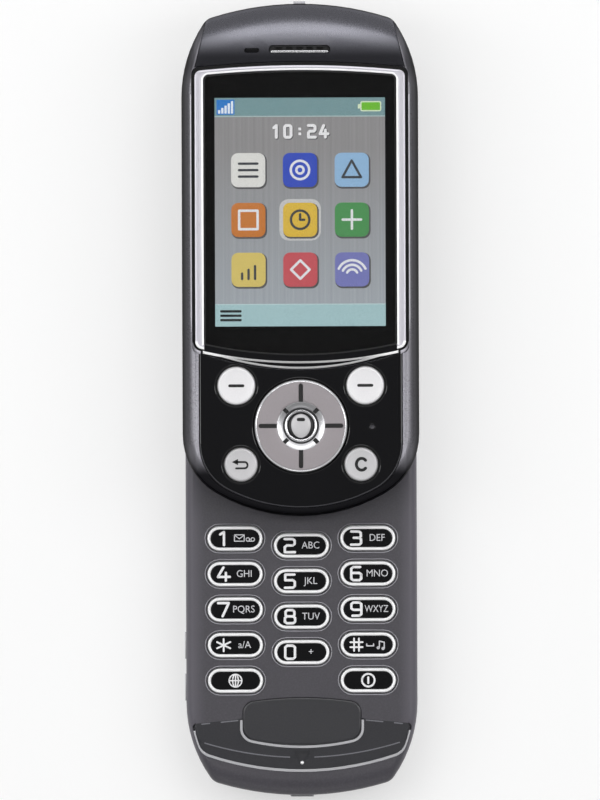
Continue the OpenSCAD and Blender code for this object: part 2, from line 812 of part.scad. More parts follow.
module rear_cover()
    color([0.28, 0.28, 0.30])
    difference() {
        union() {
            difference() {
                back_body();
                slab(cover_top + seam + sill_t, rear_top + 1) lower_2d(wall);
                slab(floor_t, rear_top + 1) intersection() { lower_2d(wall); below(cover_low - wall); }
            }
            translate([-battery_w / 2 - 1.2, bay_y - battery_l / 2 - 1.2, cover_top + seam])
                cube([battery_w + 2.4, battery_l + 2.4, rear_top - cover_top - seam]);
            for (p = boss_l) translate([p.x, p.y, 0]) slab(cover_top + seam, rear_top) circle(1.9);
        }
        slab(-1, cover_top + seam) above(cover_low);
        translate([-battery_w / 2 - 0.2, bay_y - battery_l / 2 - 0.2, -1])
            cube([battery_w + 0.4, battery_l + 0.4, battery_z + battery_t + 1.1]);
        for (p = boss_l) translate([p.x, p.y, cover_top]) {
            cylinder(r = 1.6, h = 0.9);
            cylinder(r = 0.95, h = 9);
        }
        for (s = [-1, 1]) translate([s * hook_x - hook_w / 2 - 0.2, cover_low - wall - 1, floor_t - 0.1])
            cube([hook_w + 0.4, wall + 2, 1.2]);
        translate([lens_x, lens_y, -1]) cylinder(d = lens_d + 0.2, h = 4);
        translate([light_x, lens_y, -1]) cylinder(r = 1.8, h = 4);
        for (i = [-2:2]) translate([speaker_x, lens_y + 1.8 * i, -1])
            linear_extrude(4) pill(8.6 - 1.1 * abs(i), 0.9);
        translate([-link_w / 2 - 0.15, -far_reach - 2, link_z - 0.15])
            cube([link_w + 0.3, 5, link_h + 0.3]);
    }

module battery()
    color([0.16, 0.17, 0.19])
    difference() {
        translate([-battery_w / 2, bay_y - battery_l / 2, battery_z]) cube([battery_w, battery_l, battery_t]);
        for (i = [-1:1]) translate([i * 4 - 1.25, bay_y - battery_l / 2 - 1, battery_z + battery_t - 2.4])
            cube([2.5, 1.3, 1.6]);
    }

module camera_module()
    color([0.12, 0.12, 0.13])
    translate([lens_x, lens_y, 0])
    difference() {
        union() {
            translate([-5.5, -5.5, 4]) cube([11, 11, rear_top - 0.1 - 4]);
            translate([0, 0, 2.15]) cylinder(r = 3.8, h = 2.5);
        }
        translate([0, 0, 1]) cylinder(r1 = 3, r2 = 1.2, h = 2.6);
    }

module camera_ring()
    color([0.80, 0.80, 0.82])
    translate([lens_x, lens_y, 0])
    rotate_extrude()
    polygon([
        [lens_d / 2 - 1.6, 0.35], [lens_d / 2 - 1.2, 0.05], [lens_d / 2 - 0.4, 0.05], [lens_d / 2, 0.45],
        [lens_d / 2, floor_t + 0.05], [lens_d / 2 + 0.8, floor_t + 0.05], [lens_d / 2 + 0.8, floor_t + 0.55],
        [lens_d / 2 - 2.3, floor_t + 0.55], [lens_d / 2 - 2.3, 1.3], [lens_d / 2 - 1.6, 1.3]
    ]);

module camera_window()
    color([0.06, 0.06, 0.09])
    translate([lens_x, lens_y, 0.5]) cylinder(r = lens_d / 2 - 1.6 - free, h = 0.75);

module photo_light()
    color([0.92, 0.92, 0.86])
    translate([light_x, lens_y, 0]) {
        translate([0, 0, 0.1]) cylinder(r = 1.7, h = floor_t);
        translate([0, 0, floor_t + 0.05]) cylinder(r = 2.4, h = 0.9);
    }

module loudspeaker()
    color([0.14, 0.14, 0.15])
    translate([speaker_x, lens_y, floor_t + 0.05])
    difference() {
        cylinder(r = speaker_r, h = 3.4);
        translate([0, 0, -1]) cylinder(r = speaker_r - 1.2, h = 1.6);
    }

module system_connector()
    color([0.78, 0.78, 0.79])
    translate([0, -far_reach, link_z])
    difference() {
        union() {
            translate([-link_w / 2, 0.9, 0]) cube([link_w, 5, link_h]);
            translate([-nub_w, -nub_out, 0.9]) cube([2 * nub_w, 3, 1.2]);
        }
        for (x = [-6.4:1.28:-3]) for (s = [-1, 1])
            translate([s * x - 0.35, 0, 0.8]) cube([0.7, 1.6, 1.4]);
    }

// Folded aerial plate on its carrier, at the far end above the main board
module antenna()
    color([0.72, 0.62, 0.36])
    translate([-14, -(far_reach - 5.2), rear_top + board_t])
    difference() {
        cube([28, 9.5, 2.4]);
        translate([4, 2.5, 1.9]) cube([25, 1, 2]);
        translate([-1, 5.8, 1.9]) cube([25, 1, 2]);
    }

module lower_screws()
    color([0.60, 0.60, 0.62])
    for (p = boss_l) translate([p.x, p.y, cover_top]) screw(1.5, 0.2, 0.65, 7);

// A keypad key: bright rim round a sunk dark field, with a flange under the keypad face
module pad_key(k)
    color([0.78, 0.78, 0.80])
    translate(key_at(k))
    difference() {
        union() {
            bevelled_pill(key_len, key_wid, key_z0, key_top, 0.16);
            slab(key_z0, key_flange_top) pill(key_len + 2 * key_flange, key_wid + 2 * key_flange);
        }
        slab(key_top - 0.22, key_top + 1) pill(key_len - 2 * key_rim, key_wid - 2 * key_rim);
    }

module volume_rocker()
    color([0.70, 0.70, 0.72])
    union() {
        translate([-half_l, rocker_y - rocker_l / 2, side_z0]) cube([wall + 0.5, rocker_l, side_h]);
        for (s = [-1, 1]) translate([-half_l - side_out, rocker_y + s * (rocker_l - rocker_pad) / 2 - rocker_pad / 2, side_z0 + 0.3])
            cube([1, rocker_pad, side_h - 0.6]);
        translate([-half_l + wall + 0.39, rocker_y - 6, side_z0 - 0.4]) cube([0.65, 12, side_h + 0.8]);
        translate([rocker_axis, rocker_y, side_z0 - 0.5]) cylinder(r = 0.6, h = side_h + 1);
    }

module camera_key()
    color([0.70, 0.70, 0.72])
    union() {
        translate([-half_l - side_out, shutter_y - shutter_l / 2, side_z0])
            cube([side_out + wall + 0.5, shutter_l, side_h]);
        translate([-half_l + wall + lift, shutter_y - shutter_l / 2 - 0.6, side_z0 - 0.4])
            cube([0.65, shutter_l + 1.2, side_h + 0.8]);
    }

module battery_cover()
    color([0.30, 0.29, 0.32])
    difference() {
        union() {
            difference() {
                intersection() {
                    back_body();
                    slab(-1, cover_top) above(cover_low + seam);
                }
                slab(cover_t, cover_top + 1) lower_2d(wall + 0.4);
            }
            for (s = [-1, 1]) translate([s * hook_x - hook_w / 2, cover_low + seam + 0.2, 0]) {
                translate([0, 0, cover_t - 0.2]) cube([hook_w, 2.5, 1.3]);
                translate([0, -1.9, floor_t]) cube([hook_w, 3, 0.8]);
            }
        }
        for (i = [0:3]) translate([0, near_reach - 11 + 1.8 * i, -1])
            linear_extrude(1.35) pill(16 - 1.5 * i, 0.9);
    }

upper_frame();
earpiece_cap();
earpiece_grille();
indicator_window();
display_bezel();
display_window();
display_panel();
key_panel();
key_panel_trim();
upper_key_mat();
upper_circuit_board();
earpiece_capsule();
upper_rear_cover();
upper_screws();
for (k = ROUND_KEYS) round_key(k);
nav_pivot_pad();
nav_disc();
select_button();
swivel_base();
swivel_rotor();
swivel_keeper();
swivel_wave_washer();
swivel_slide_ring();
swivel_ribbon();
keypad_cover();
name_tab();
chin_trim();
chin_strip();
keypad_mat();
main_circuit_board();
rear_cover();
battery();
camera_module();
camera_ring();
camera_window();
photo_light();
loudspeaker();
system_connector();
antenna();
lower_screws();
for (k = PAD_KEYS) pad_key(k);
volume_rocker();
camera_key();
battery_cover();
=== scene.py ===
"""Looks of a swivel phone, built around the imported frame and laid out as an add-on.

Meshes are worked in millimetres and scaled to metres when a piece is finished.
"""

import json
import math

import bmesh
import bpy
from bpy.props import FloatProperty, FloatVectorProperty, PointerProperty
from mathutils import Matrix, Vector
from mathutils.bvhtree import BVHTree


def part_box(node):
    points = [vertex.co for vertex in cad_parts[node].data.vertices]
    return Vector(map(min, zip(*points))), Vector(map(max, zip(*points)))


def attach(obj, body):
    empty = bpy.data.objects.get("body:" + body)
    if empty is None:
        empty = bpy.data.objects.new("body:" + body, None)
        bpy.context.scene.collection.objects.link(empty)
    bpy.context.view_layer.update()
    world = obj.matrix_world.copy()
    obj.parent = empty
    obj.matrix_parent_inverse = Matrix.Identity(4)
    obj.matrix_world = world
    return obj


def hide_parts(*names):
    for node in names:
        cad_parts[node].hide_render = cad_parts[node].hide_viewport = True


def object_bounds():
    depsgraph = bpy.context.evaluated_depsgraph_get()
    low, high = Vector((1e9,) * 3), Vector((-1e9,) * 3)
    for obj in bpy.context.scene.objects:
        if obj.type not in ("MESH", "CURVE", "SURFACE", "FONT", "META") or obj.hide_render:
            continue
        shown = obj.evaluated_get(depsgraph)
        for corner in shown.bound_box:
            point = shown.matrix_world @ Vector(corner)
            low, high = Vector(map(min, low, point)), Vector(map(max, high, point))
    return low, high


bl_info = {
    "name": "Swivel Phone",
    "version": (1, 0, 0),
    "blender": (4, 5, 0),
    "location": "View3D > Sidebar > Phone",
    "description": "Builds the looks of a swivel phone around its packed frame",
    "category": "Object",
}

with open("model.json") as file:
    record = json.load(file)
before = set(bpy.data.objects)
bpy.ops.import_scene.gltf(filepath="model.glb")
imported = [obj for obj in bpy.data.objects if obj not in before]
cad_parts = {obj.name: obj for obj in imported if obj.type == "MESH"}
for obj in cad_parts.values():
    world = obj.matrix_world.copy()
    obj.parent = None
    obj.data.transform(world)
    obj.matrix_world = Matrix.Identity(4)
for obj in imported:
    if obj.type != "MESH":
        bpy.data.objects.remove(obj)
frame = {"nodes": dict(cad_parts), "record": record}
CAD_BOX = [list(corner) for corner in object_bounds()]
SLOT_OF = {p["node"]: p["material_slot"] for p in frame["record"]["subparts"]}
BODY_OF = {
    node: body
    for body, nodes in frame["record"]["behaviour"]["bodies"].items()
    for node in nodes
}
MM = 0.001


def span(node):
    """Lowest and highest corner of a CAD node in millimetres."""
    low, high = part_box(node)
    return low / MM, high / MM


def middle(node):
    low, high = span(node)
    return (low + high) / 2


def radius(node):
    """Half the width of a CAD node in millimetres."""
    low, high = span(node)
    return (high.x - low.x) / 2


# Layout taken from the frame, in millimetres
HALF_U = span("upper_rear_cover")[1].x
NEAR = -span("upper_rear_cover")[0].y
WEB_Z = span("display_window")[0].z
PANEL_Z = span("key_panel")[1].z
DECK_Z = span("keypad_cover")[1].z
WINDOW_HALF = span("display_window")[1].x
WINDOW_LOW, WINDOW_TOP = (corner.y for corner in span("display_window"))
BEZEL_HALF = span("display_bezel")[1].x
BEZEL_LOW, BEZEL_TOP = (corner.y for corner in span("display_bezel"))
NAV = middle("nav_disc")
NAV_R = radius("nav_disc")
NAV_TOP = span("nav_disc")[1].z
SELECT_TOP = span("select_button")[1].z
CRESCENT_LOW = span("key_panel_trim")[0].y
PIN_Y = span("chin_strip")[0].y + 1.9

# Radii of the bowed ends, then the lit field, also in millimetres
TOP_BOW, WINDOW_BOW, PANEL_BOW = 205, 92.5, 62
LCD_HALF, LCD_LOW, LCD_TOP = 17.45, 15.1, 61.9
# Painted highlight along a rail: distance from the middle line, lower and upper end
LINE_X, LINE_LOW, LINE_TOP = 22.36, 14, 65
# Steps from cap to flange of the round keys and of the keypad keys
KEY_STEP, PAD_STEP = 0.4, 0.5
# Height of a layer of marks on the display
LAYER = 0.008
# Height of the grid on which signs are drawn, one wide
SIGN_HIGH = 1.6

UPPER, LOWER = "upper_half", "lower_half"
ROUND_KEYS = ("left_soft_key", "right_soft_key", "back_key", "clear_key")
LETTERS = {
    "key_1": ("1", "post"), "key_2": ("2", "ABC"), "key_3": ("3", "DEF"),
    "key_4": ("4", "GHI"), "key_5": ("5", "JKL"), "key_6": ("6", "MNO"),
    "key_7": ("7", "PQRS"), "key_8": ("8", "TUV"), "key_9": ("9", "WXYZ"),
    "key_star": ("*", "a/A"), "key_0": ("0", "+"), "key_hash": ("#", "note"),
    "key_web": ("web", ""), "key_power": ("power", ""),
}


def tone(red, green, blue):
    """A colour as seen on a display, 0 to 255, made linear."""
    def one(v):
        v /= 255
        return v / 12.92 if v <= 0.04045 else ((v + 0.055) / 1.055) ** 2.4
    return one(red), one(green), one(blue)


def colour_prop(name, about, shade):
    return FloatVectorProperty(
        name=name, description=about, subtype="COLOR", size=3, min=0, max=1, default=tone(*shade)
    )


def length_prop(name, about, mm):
    return FloatProperty(
        name=name, description=about, default=mm * MM, min=0, unit="LENGTH", precision=5
    )


class PhoneSizes(bpy.types.PropertyGroup):
    """Sizes that the frame leaves open."""

    edge: length_prop("Edge rounding", "Rounding of the moulded edges", 0.12)
    rim: length_prop("Key rim", "Width of the bright rim of a keypad key", 0.68)
    digit: length_prop("Digit height", "Height of the digits on the keypad", 2.7)
    stroke: length_prop("Digit stroke", "Width of a digit's stroke", 0.5)
    letter: length_prop("Letter size", "Size of the small letters on the keypad", 2.05)
    dash: length_prop("Dash length", "Length of the dash on a soft key", 3.3)
    tile: length_prop("Tile size", "Side of a tile on the display", 7.0)
    tile_pitch: length_prop("Tile pitch", "Distance between tiles on the display", 10.6)


class PhoneFinishes(bpy.types.PropertyGroup):
    """Colours of the main finishes."""

    frame: colour_prop("Frame", "Lacquer of the display half's frame", (214, 212, 222))
    cap: colour_prop("Top cap", "Lacquer of the cap above the display", (106, 106, 113))
    bezel: colour_prop("Bezel", "Satin metal round the window", (194, 192, 200))
    chrome: colour_prop("Bright trim", "Plated wires and rims", (240, 240, 243))
    panel: colour_prop("Key panel", "Gloss panel under the display", (17, 17, 19))
    key: colour_prop("Round keys", "Satin silver of the return and clear keys", (194, 193, 195))
    soft: colour_prop("Soft keys", "Satin white of the soft keys", (228, 227, 229))
    nav: colour_prop("Navigation disc", "Warm satin grey of the disc", (150, 144, 147))
    body: colour_prop("Keypad body", "Soft grey of the keypad half", (62, 60, 66))
    back: colour_prop("Back", "Grey of the rear mouldings", (70, 69, 74))
    trim: colour_prop("Chin trim", "Dark trim at the keypad's end", (34, 34, 39))
    tab: colour_prop("Tab", "Dark tab above the chin", (39, 39, 43))
    inlay: colour_prop("Key field", "Dark field of a keypad key", (15, 15, 17))
    legend: colour_prop("Legend", "Printing on the keypad", (238, 238, 240))
    screen: colour_prop("Screen", "Ground of the display", (138, 137, 138))


def size(name):
    """One of the panel's sizes in millimetres."""
    return getattr(bpy.context.scene.phone_sizes, name) / MM


# Outlines, as points in millimetres that run anticlockwise from the lower middle


def arc(cx, cy, r, a0, a1, n, skip=0):
    turns = [math.radians(a0 + (a1 - a0) * i / n) for i in range(skip, n + 1)]
    return [(cx + r * math.cos(a), cy + r * math.sin(a)) for a in turns]


def mirrored(right):
    """Closes a right half that starts and ends on the middle line."""
    return right + [(-x, y) for x, y in right[-2:0:-1]]


def bowed_box(half, top, top_r, low, low_r, top_c, low_c, fine=8):
    """A box with bowed ends and round corners."""
    ty = top - top_r + math.sqrt((top_r - top_c) ** 2 - (half - top_c) ** 2)
    ly = low + low_r - math.sqrt((low_r - low_c) ** 2 - (half - low_c) ** 2)
    ta = math.degrees(math.atan2(ty - top + top_r, half - top_c))
    la = math.degrees(math.atan2(ly - low - low_r, half - low_c))
    return mirrored(
        arc(0, low + low_r, low_r, -90, la, 3 * fine)
        + arc(half - low_c, ly, low_c, la, 0, fine, 1)
        + arc(half - top_c, ty, top_c, 0, ta, fine)
        + arc(0, top - top_r, top_r, ta, 90, 2 * fine, 1)
    )


def bezel_edge(d, lift=0.5):
    """Outer edge of the bezel, drawn in by d, with its foot lifted clear of the bright line."""
    return bowed_box(
        BEZEL_HALF - d, BEZEL_TOP - 0.15 - d, TOP_BOW - d, BEZEL_LOW + lift + d,
        WINDOW_BOW + WINDOW_LOW - BEZEL_LOW - lift - d, max(1.5 - d, 0.3), max(1.7 - d, 0.3),
    )


def bezel_mouth(d):
    """Inner edge of the bezel, which stands off the window by d."""
    return bowed_box(
        WINDOW_HALF + d, WINDOW_TOP - 0.3 + d, TOP_BOW + d, WINDOW_LOW + 0.9 - d,
        WINDOW_BOW - 0.9 + d, 1.0 + d, 0.4,
    )


def window_edge(d):
    """Edge of the window, grown by d."""
    return bowed_box(
        WINDOW_HALF + d, WINDOW_TOP + d, TOP_BOW + d, WINDOW_LOW - d, WINDOW_BOW + d,
        max(1.0 + d, 0.3), max(1.1 + d, 0.3),
    )


def panel_edge(d):
    """Edge of the key panel, drawn in by d: round near end, straight sides, hollow top."""
    half = span("key_panel")[1].x - d
    near = -span("key_panel")[0].y - d
    rn, rc = 34 - NEAR + near, 14 - HALF_U + half
    cn = rn - near
    cc = cn - math.sqrt((rn - rc) ** 2 - (half - rc) ** 2)
    an = math.degrees(math.atan2(cc - cn, half - rc))
    bow, mid = PANEL_BOW + 0.08 + d, CRESCENT_LOW + PANEL_BOW
    end = -math.degrees(math.acos(half / bow))
    return mirrored(
        arc(0, cn, rn, -90, an, 14) + arc(half - rc, cc, rc, an, 0, 16, 1)
        + arc(0, mid, bow, end, -90, 24)
    )


def stadium(length, width, fine=10):
    """A long hole's outline, centred."""
    r, c = width / 2, (length - width) / 2
    return arc(c, 0, r, -90, 90, fine) + arc(-c, 0, r, 90, 270, fine)


def rounded_box(w, h, c, fine=4):
    """A box with round corners, centred."""
    x, y = w / 2 - c, h / 2 - c
    return (
        arc(x, -y, c, -90, 0, fine) + arc(x, y, c, 0, 90, fine)
        + arc(-x, y, c, 90, 180, fine) + arc(-x, -y, c, 180, 270, fine)
    )


def moved(points, cx, cy):
    return [(x + cx, y + cy) for x, y in points]


def at(points, z):
    return [(x, y, z) for x, y in points]


def between(a, b, share, z):
    """A ring part of the way from one outline to another of equal count."""
    return [(p[0] + (q[0] - p[0]) * share, p[1] + (q[1] - p[1]) * share, z) for p, q in zip(a, b)]


# Mesh tools


def loft(bm, rings, wrap=False):
    """Skins closed rings of equal count, each extruded from the one before."""
    first = ring = [bm.verts.new(p) for p in rings[0]]
    start = edges = [bm.edges.new((ring[i - 1], ring[i])) for i in range(len(ring))]
    for points in rings[1:]:
        made = bmesh.ops.extrude_edge_only(bm, edges=edges)["geom"]
        fresh = {g for g in made if isinstance(g, bmesh.types.BMVert)}
        ring = [
            next(e.other_vert(v) for e in v.link_edges if e.other_vert(v) in fresh) for v in ring
        ]
        for v, p in zip(ring, points):
            v.co = p
        edges = [bm.edges.get((ring[i - 1], ring[i])) for i in range(len(ring))]
    if wrap:
        bmesh.ops.bridge_loops(bm, edges=start + edges)
    else:
        bm.faces.new(first[::-1])
        bm.faces.new(ring)
    return bm


def bead(bm, outer, inner, section, keep):
    """Lays a section between two outlines of equal count, along the stretches that keep picks."""
    run = []
    for a, b in [*zip(outer, inner), (None, None)]:
        if a and keep(*a):
            run.append([between([a], [b], f, z)[0] for f, z in section])
        elif run:
            loft(bm, run)
            run = []
    return bm


def stack(edge, *levels, wrap=False):
    """Lofts an outline that takes a distance, given as pairs of distance and height."""
    return loft(bmesh.new(), [at(edge(d), z) for d, z in levels], wrap)


def prism(bm, points, z0, z1):
    return loft(bm, [at(points, z0), at(points, z1)])


def lathe(bm, profile, centre, steps=72, r=0, z=0):
    """Spins a profile of radius and height, counted from r and z, about an upright line."""
    verts = [bm.verts.new((centre[0] + (r + dr), centre[1], z + dz)) for dr, dz in profile]
    edges = [bm.edges.new(pair) for pair in zip(verts, verts[1:])]
    bmesh.ops.spin(
        bm, geom=verts + edges, cent=(centre[0], centre[1], 0), axis=(0, 0, 1),
        angle=math.tau, steps=steps, use_merge=True,
    )
    bmesh.ops.remove_doubles(bm, verts=bm.verts, dist=1e-4)
    return bm


def tube(bm, r0, r1, z0, z1, centre):
    return lathe(bm, [(r0, z0), (r1, z0), (r1, z1), (r0, z1), (r0, z0)], centre)


def loose(bm, name="loose"):
    """A plain object from a mesh, which is used up."""
    bmesh.ops.recalc_face_normals(bm, faces=bm.faces)
    mesh = bpy.data.meshes.new(name)
    bm.to_mesh(mesh)
    bm.free()
    obj = bpy.data.objects.new(name, mesh)
    bpy.context.scene.collection.objects.link(obj)
    return obj


def take(bm, obj, matrix=None):
    """Adds an object's mesh with its modifiers to a bmesh; the object goes."""
    seen = obj.evaluated_get(bpy.context.evaluated_depsgraph_get())
    mesh = bpy.data.meshes.new_from_object(seen)
    if matrix is not None:
        mesh.transform(matrix)
    bm.from_mesh(mesh)
    bpy.data.meshes.remove(mesh)
    bpy.data.objects.remove(obj)
    return bm


def carve(bm, cutter):
    """Takes one mesh from another; both are used up."""
    body, tool = loose(bm), loose(cutter, "tool")
    cut = body.modifiers.new("carve", "BOOLEAN")
    cut.object, cut.operation, cut.solver = tool, "DIFFERENCE", "EXACT"
    out = take(bmesh.new(), body)
    bpy.data.objects.remove(tool)
    bmesh.ops.remove_doubles(out, verts=out.verts, dist=1e-3)
    bmesh.ops.dissolve_degenerate(out, edges=out.edges, dist=1e-3)
    return out


def soften(bm, width, segments=2, angle=40):
    """Rounds the outer edges that are steeper than an angle."""
    bmesh.ops.recalc_face_normals(bm, faces=bm.faces)
    bm.normal_update()
    edges = [
        e for e in bm.edges
        if len(e.link_faces) == 2 and e.is_convex and e.calc_face_angle(0) > math.radians(angle)
    ]
    bmesh.ops.bevel(
        bm, geom=edges, offset=width, offset_type="OFFSET", segments=segments, profile=0.5,
        affect="EDGES", clamp_overlap=True, material=-1,
    )
    return bm


def polished(node, width=None, segments=2):
    """A copy of a CAD node with merged corners, joined flats and rounded edges."""
    if width is None:
        width = size("edge")
    bm = bmesh.new()
    bm.from_mesh(frame["nodes"][node].data)
    bmesh.ops.scale(bm, vec=(1 / MM,) * 3, verts=bm.verts)
    bmesh.ops.remove_doubles(bm, verts=bm.verts, dist=5e-4)
    bmesh.ops.dissolve_limit(bm, angle_limit=math.radians(0.3), verts=bm.verts, edges=bm.edges)
    return soften(bm, width, segments)


def add_text(bm, words, size, cx, cy, z, squeeze):
    """Lays a line of plain letters on a level."""
    curve = bpy.data.curves.new("letters", "FONT")
    curve.body, curve.size, curve.extrude = words, size, 0.02
    curve.align_x, curve.align_y = "CENTER", "CENTER"
    curve.resolution_u = 3
    obj = bpy.data.objects.new("letters", curve)
    bpy.context.scene.collection.objects.link(obj)
    take(bm, obj, Matrix.Translation((cx, cy, z)) @ Matrix.Diagonal((squeeze, 1, 1, 1)))
    bpy.data.curves.remove(curve)


def add_strokes(bm, strokes, width, z, thick=0.05):
    """Lays flat lines with round ends and joints; what overlaps lies a hair higher."""
    parts = [pair for line in strokes for pair in zip(line, line[1:])]
    for i, (start, end) in enumerate(parts):
        start, end = Vector(start), Vector(end)
        way = end - start
        turn = Matrix.Rotation(math.atan2(way.y, way.x), 2)
        capsule = stadium(way.length + width, width, 5)
        points = [turn @ Vector(p) + (start + end) / 2 for p in capsule]
        prism(bm, points, z - thick, z + 0.0004 * i)


def piece(bm, name, body, look, nodes=(), smooth=35):
    """Finishes a mesh in millimetres as a piece that rides on a body."""
    bmesh.ops.scale(bm, vec=(MM,) * 3, verts=bm.verts)
    obj = loose(bm, name)
    obj.data.shade_smooth()
    obj.data.set_sharp_from_angle(angle=math.radians(smooth))
    obj.data.materials.clear()
    obj.data.materials.append(finish(look))
    weigh = obj.modifiers.new("weigh", "WEIGHTED_NORMAL")
    weigh.keep_sharp = True
    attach(obj, body)
    if nodes:
        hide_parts(*nodes)


def rounded(node, name, look=None, width=None, segments=2):
    """A CAD node with rounded edges as a piece in its place, with its slot's look or another."""
    slot = SLOT_OF[node]
    piece(polished(node, width, segments), name, BODY_OF[node], look or slot, [node])


# Shader tools


def set_stops(ramp, stops):
    """Gives a colour ramp its stops, each a place and a colour."""
    while len(ramp.elements) < len(stops):
        ramp.elements.new(1)
    for stop, (where, colour) in zip(ramp.elements, stops):
        stop.position, stop.color = where, (*colour, 1)


class Value:
    """A shader socket that takes part in sums."""

    def __init__(self, look, socket):
        self.look, self.socket = look, socket

    def __add__(self, other):
        return self.look.math("ADD", self, other)

    def __sub__(self, other):
        return self.look.math("SUBTRACT", self, other)

    def __rsub__(self, other):
        return self.look.math("SUBTRACT", other, self)

    def __mul__(self, other):
        return self.look.math("MULTIPLY", self, other)

    def __truediv__(self, other):
        return self.look.math("DIVIDE", self, other)

    def __pow__(self, other):
        return self.look.math("POWER", self, other)

    __radd__, __rmul__ = __add__, __mul__


class Look:
    """A material in the making."""

    def __init__(self, name):
        self.material = bpy.data.materials.new(name)
        self.material.use_nodes = True
        self.tree = self.material.node_tree
        self.shader = self.tree.nodes["Principled BSDF"]
        self.place = self.node("ShaderNodeTexCoord", out="Object")

    def node(self, kind, settings=None, inputs=None, out=0):
        made = self.tree.nodes.new(kind)
        for key, value in (settings or {}).items():
            setattr(made, key, value)
        for key, value in (inputs or {}).items():
            self.feed(made.inputs[key], value)
        return Value(self, made.outputs[out])

    def feed(self, socket, value):
        if isinstance(value, Value):
            self.tree.links.new(value.socket, socket)
        elif socket.type == "RGBA" and len(value) == 3:
            socket.default_value = (*value, 1)
        else:
            socket.default_value = value

    def math(self, kind, a, b=0.5):
        return self.node("ShaderNodeMath", {"operation": kind}, {0: a, 1: b})

    def set(self, **sockets):
        """Feeds the surface's sockets, named with _ for a space."""
        for key, value in sockets.items():
            name = key.replace("_", " ").title().replace("Ior", "IOR")
            self.feed(self.shader.inputs[name], value)

    def axes(self):
        split = self.node("ShaderNodeSeparateXYZ", {}, {0: self.place}).socket.node
        return [Value(self, o) for o in split.outputs]

    def aside(self):
        """Distance from the middle line, in metres."""
        return self.math("ABSOLUTE", self.axes()[0])

    def around(self, node):
        """Distance from the upright line through the middle of a CAD node, in metres."""
        cx, cy = (v * MM for v in middle(node).xy)
        x, y, _ = self.axes()
        return ((x - cx) ** 2.0 + (y - cy) ** 2.0) ** 0.5

    def fade(self, value, start, end, share=1.0):
        """A soft step from 0 to a share between two places in millimetres."""
        return self.node("ShaderNodeMapRange", {"interpolation_type": "SMOOTHSTEP"}, {
            "Value": value, "From Min": start * MM, "From Max": end * MM, "To Max": share,
        })

    def noise(self, size, detail=2.0, stretch=None):
        """Noise with features of a size in millimetres, 0 to 1."""
        where = self.place
        if stretch:
            where = self.node("ShaderNodeMapping", {}, {"Vector": where, "Scale": stretch})
        return self.node(
            "ShaderNodeTexNoise", {}, {"Vector": where, "Scale": 1 / (size * MM), "Detail": detail}
        )

    def cells(self, size, out="Distance"):
        inputs = {"Vector": self.place, "Scale": 1 / (size * MM)}
        return self.node("ShaderNodeTexVoronoi", {}, inputs, out)

    def ramp(self, value, *stops):
        made = self.node("ShaderNodeValToRGB", {}, {"Fac": value}, "Color")
        set_stops(made.socket.node.color_ramp, stops)
        return made

    def mix(self, share, a, b, blend="MIX"):
        settings = {"data_type": "RGBA", "blend_type": blend}
        return self.node("ShaderNodeMix", settings, {0: share, 6: a, 7: b}, 2)

    def bump(self, height, depth, strength=0.5):
        """Relief of a depth in millimetres."""
        self.set(Normal=self.node(
            "ShaderNodeBump", {}, {"Height": height, "Distance": depth * MM, "Strength": strength}
        ))


def shade(colour, factor):
    return tuple(min(1, c * factor) for c in colour)


def moulded(look, colour, rough, grain=0.12, depth=0.006, coat=0.0, fleck=0.1, sides=()):
    """Moulded plastic: fine spark texture, slow drift of colour, flecks and handled patches.

    sides gives two distances from the middle line between which it pales, and by how much: a
    painted sheen on the rounded flanks.
    """
    slow, fine = look.noise(9, 3), look.noise(grain, 2)
    even = look.mix(slow, shade(colour, 0.94), shade(colour, 1.06))
    if sides:
        # Painted sheen: paler towards the flanks.
        near, far, gain = sides
        even = look.mix(look.fade(look.aside(), near, far), even, shade(colour, gain))
    share = look.node("ShaderNodeMapRange", {}, {
        "Value": look.noise(grain * 2.2, 2), "From Min": 0.4, "From Max": 0.75,
        "To Max": fleck * 3,
    })
    look.set(
        base_color=look.mix(share, even, shade(colour, 1.9)),
        roughness=rough - 0.06 + 0.08 * look.noise(4, 4) + 0.05 * fine,
    )
    look.bump(fine, depth)
    if coat:
        look.set(coat_weight=coat, coat_roughness=0.12)


def lacquer(look, colour, metallic, rough, coat, flake=0.09, spread=0.15, dull=(), across=(),
            edge=1.0):
    """Metallic lacquer: flakes under a clear coat.

    The spans of an axis (axis, start, end, share and, where it isn't near black, the colour) turn
    the lacquer dark and flat as painted shade; a span with a light colour only recolours. The
    brightness stops by distance from the middle line paint a highlight where they rise and shade
    where they fall. edge is the share of light that flanks seen at a low angle throw back.
    """
    grey = look.node("ShaderNodeRGBToBW", {}, {"Color": look.cells(flake, "Color")})
    tinted, flat = look.mix(grey, shade(colour, 1 - spread), shade(colour, 1 + spread)), 0.0
    # Painted highlight and painted shade: brightness set by distance from the middle line.
    if across:
        near, far = across[0][0], across[-1][0]
        level = look.ramp((look.aside() - near * MM) / ((far - near) * MM), *[
            ((where - near) / (far - near), tone(v, v, v)) for where, v in across])
        tinted = look.mix(1.0, tinted, level, "MULTIPLY")
    # Painted shade: each dark span steps the colour to near black and the finish to rough and
    # uncoated.
    for axis, start, end, share, *other in dull:
        drop = look.fade(look.axes()[axis], start, end, share)
        tinted = look.mix(drop, tinted, *(other or [(0.004, 0.004, 0.005)]))
        flat = look.math("MAXIMUM", drop, flat)
    look.set(
        base_color=tinted,
        metallic=metallic + (1 - metallic) * flat,
        roughness=rough - 0.05 + 0.06 * grey + 0.06 * look.noise(6, 3) + 0.2 * flat,
        coat_weight=coat * (1.0 - flat),
        coat_roughness=0.1,
        specular_tint=(edge, edge, edge),
    )
    look.bump(look.noise(0.9, 2), 0.002, 0.2)


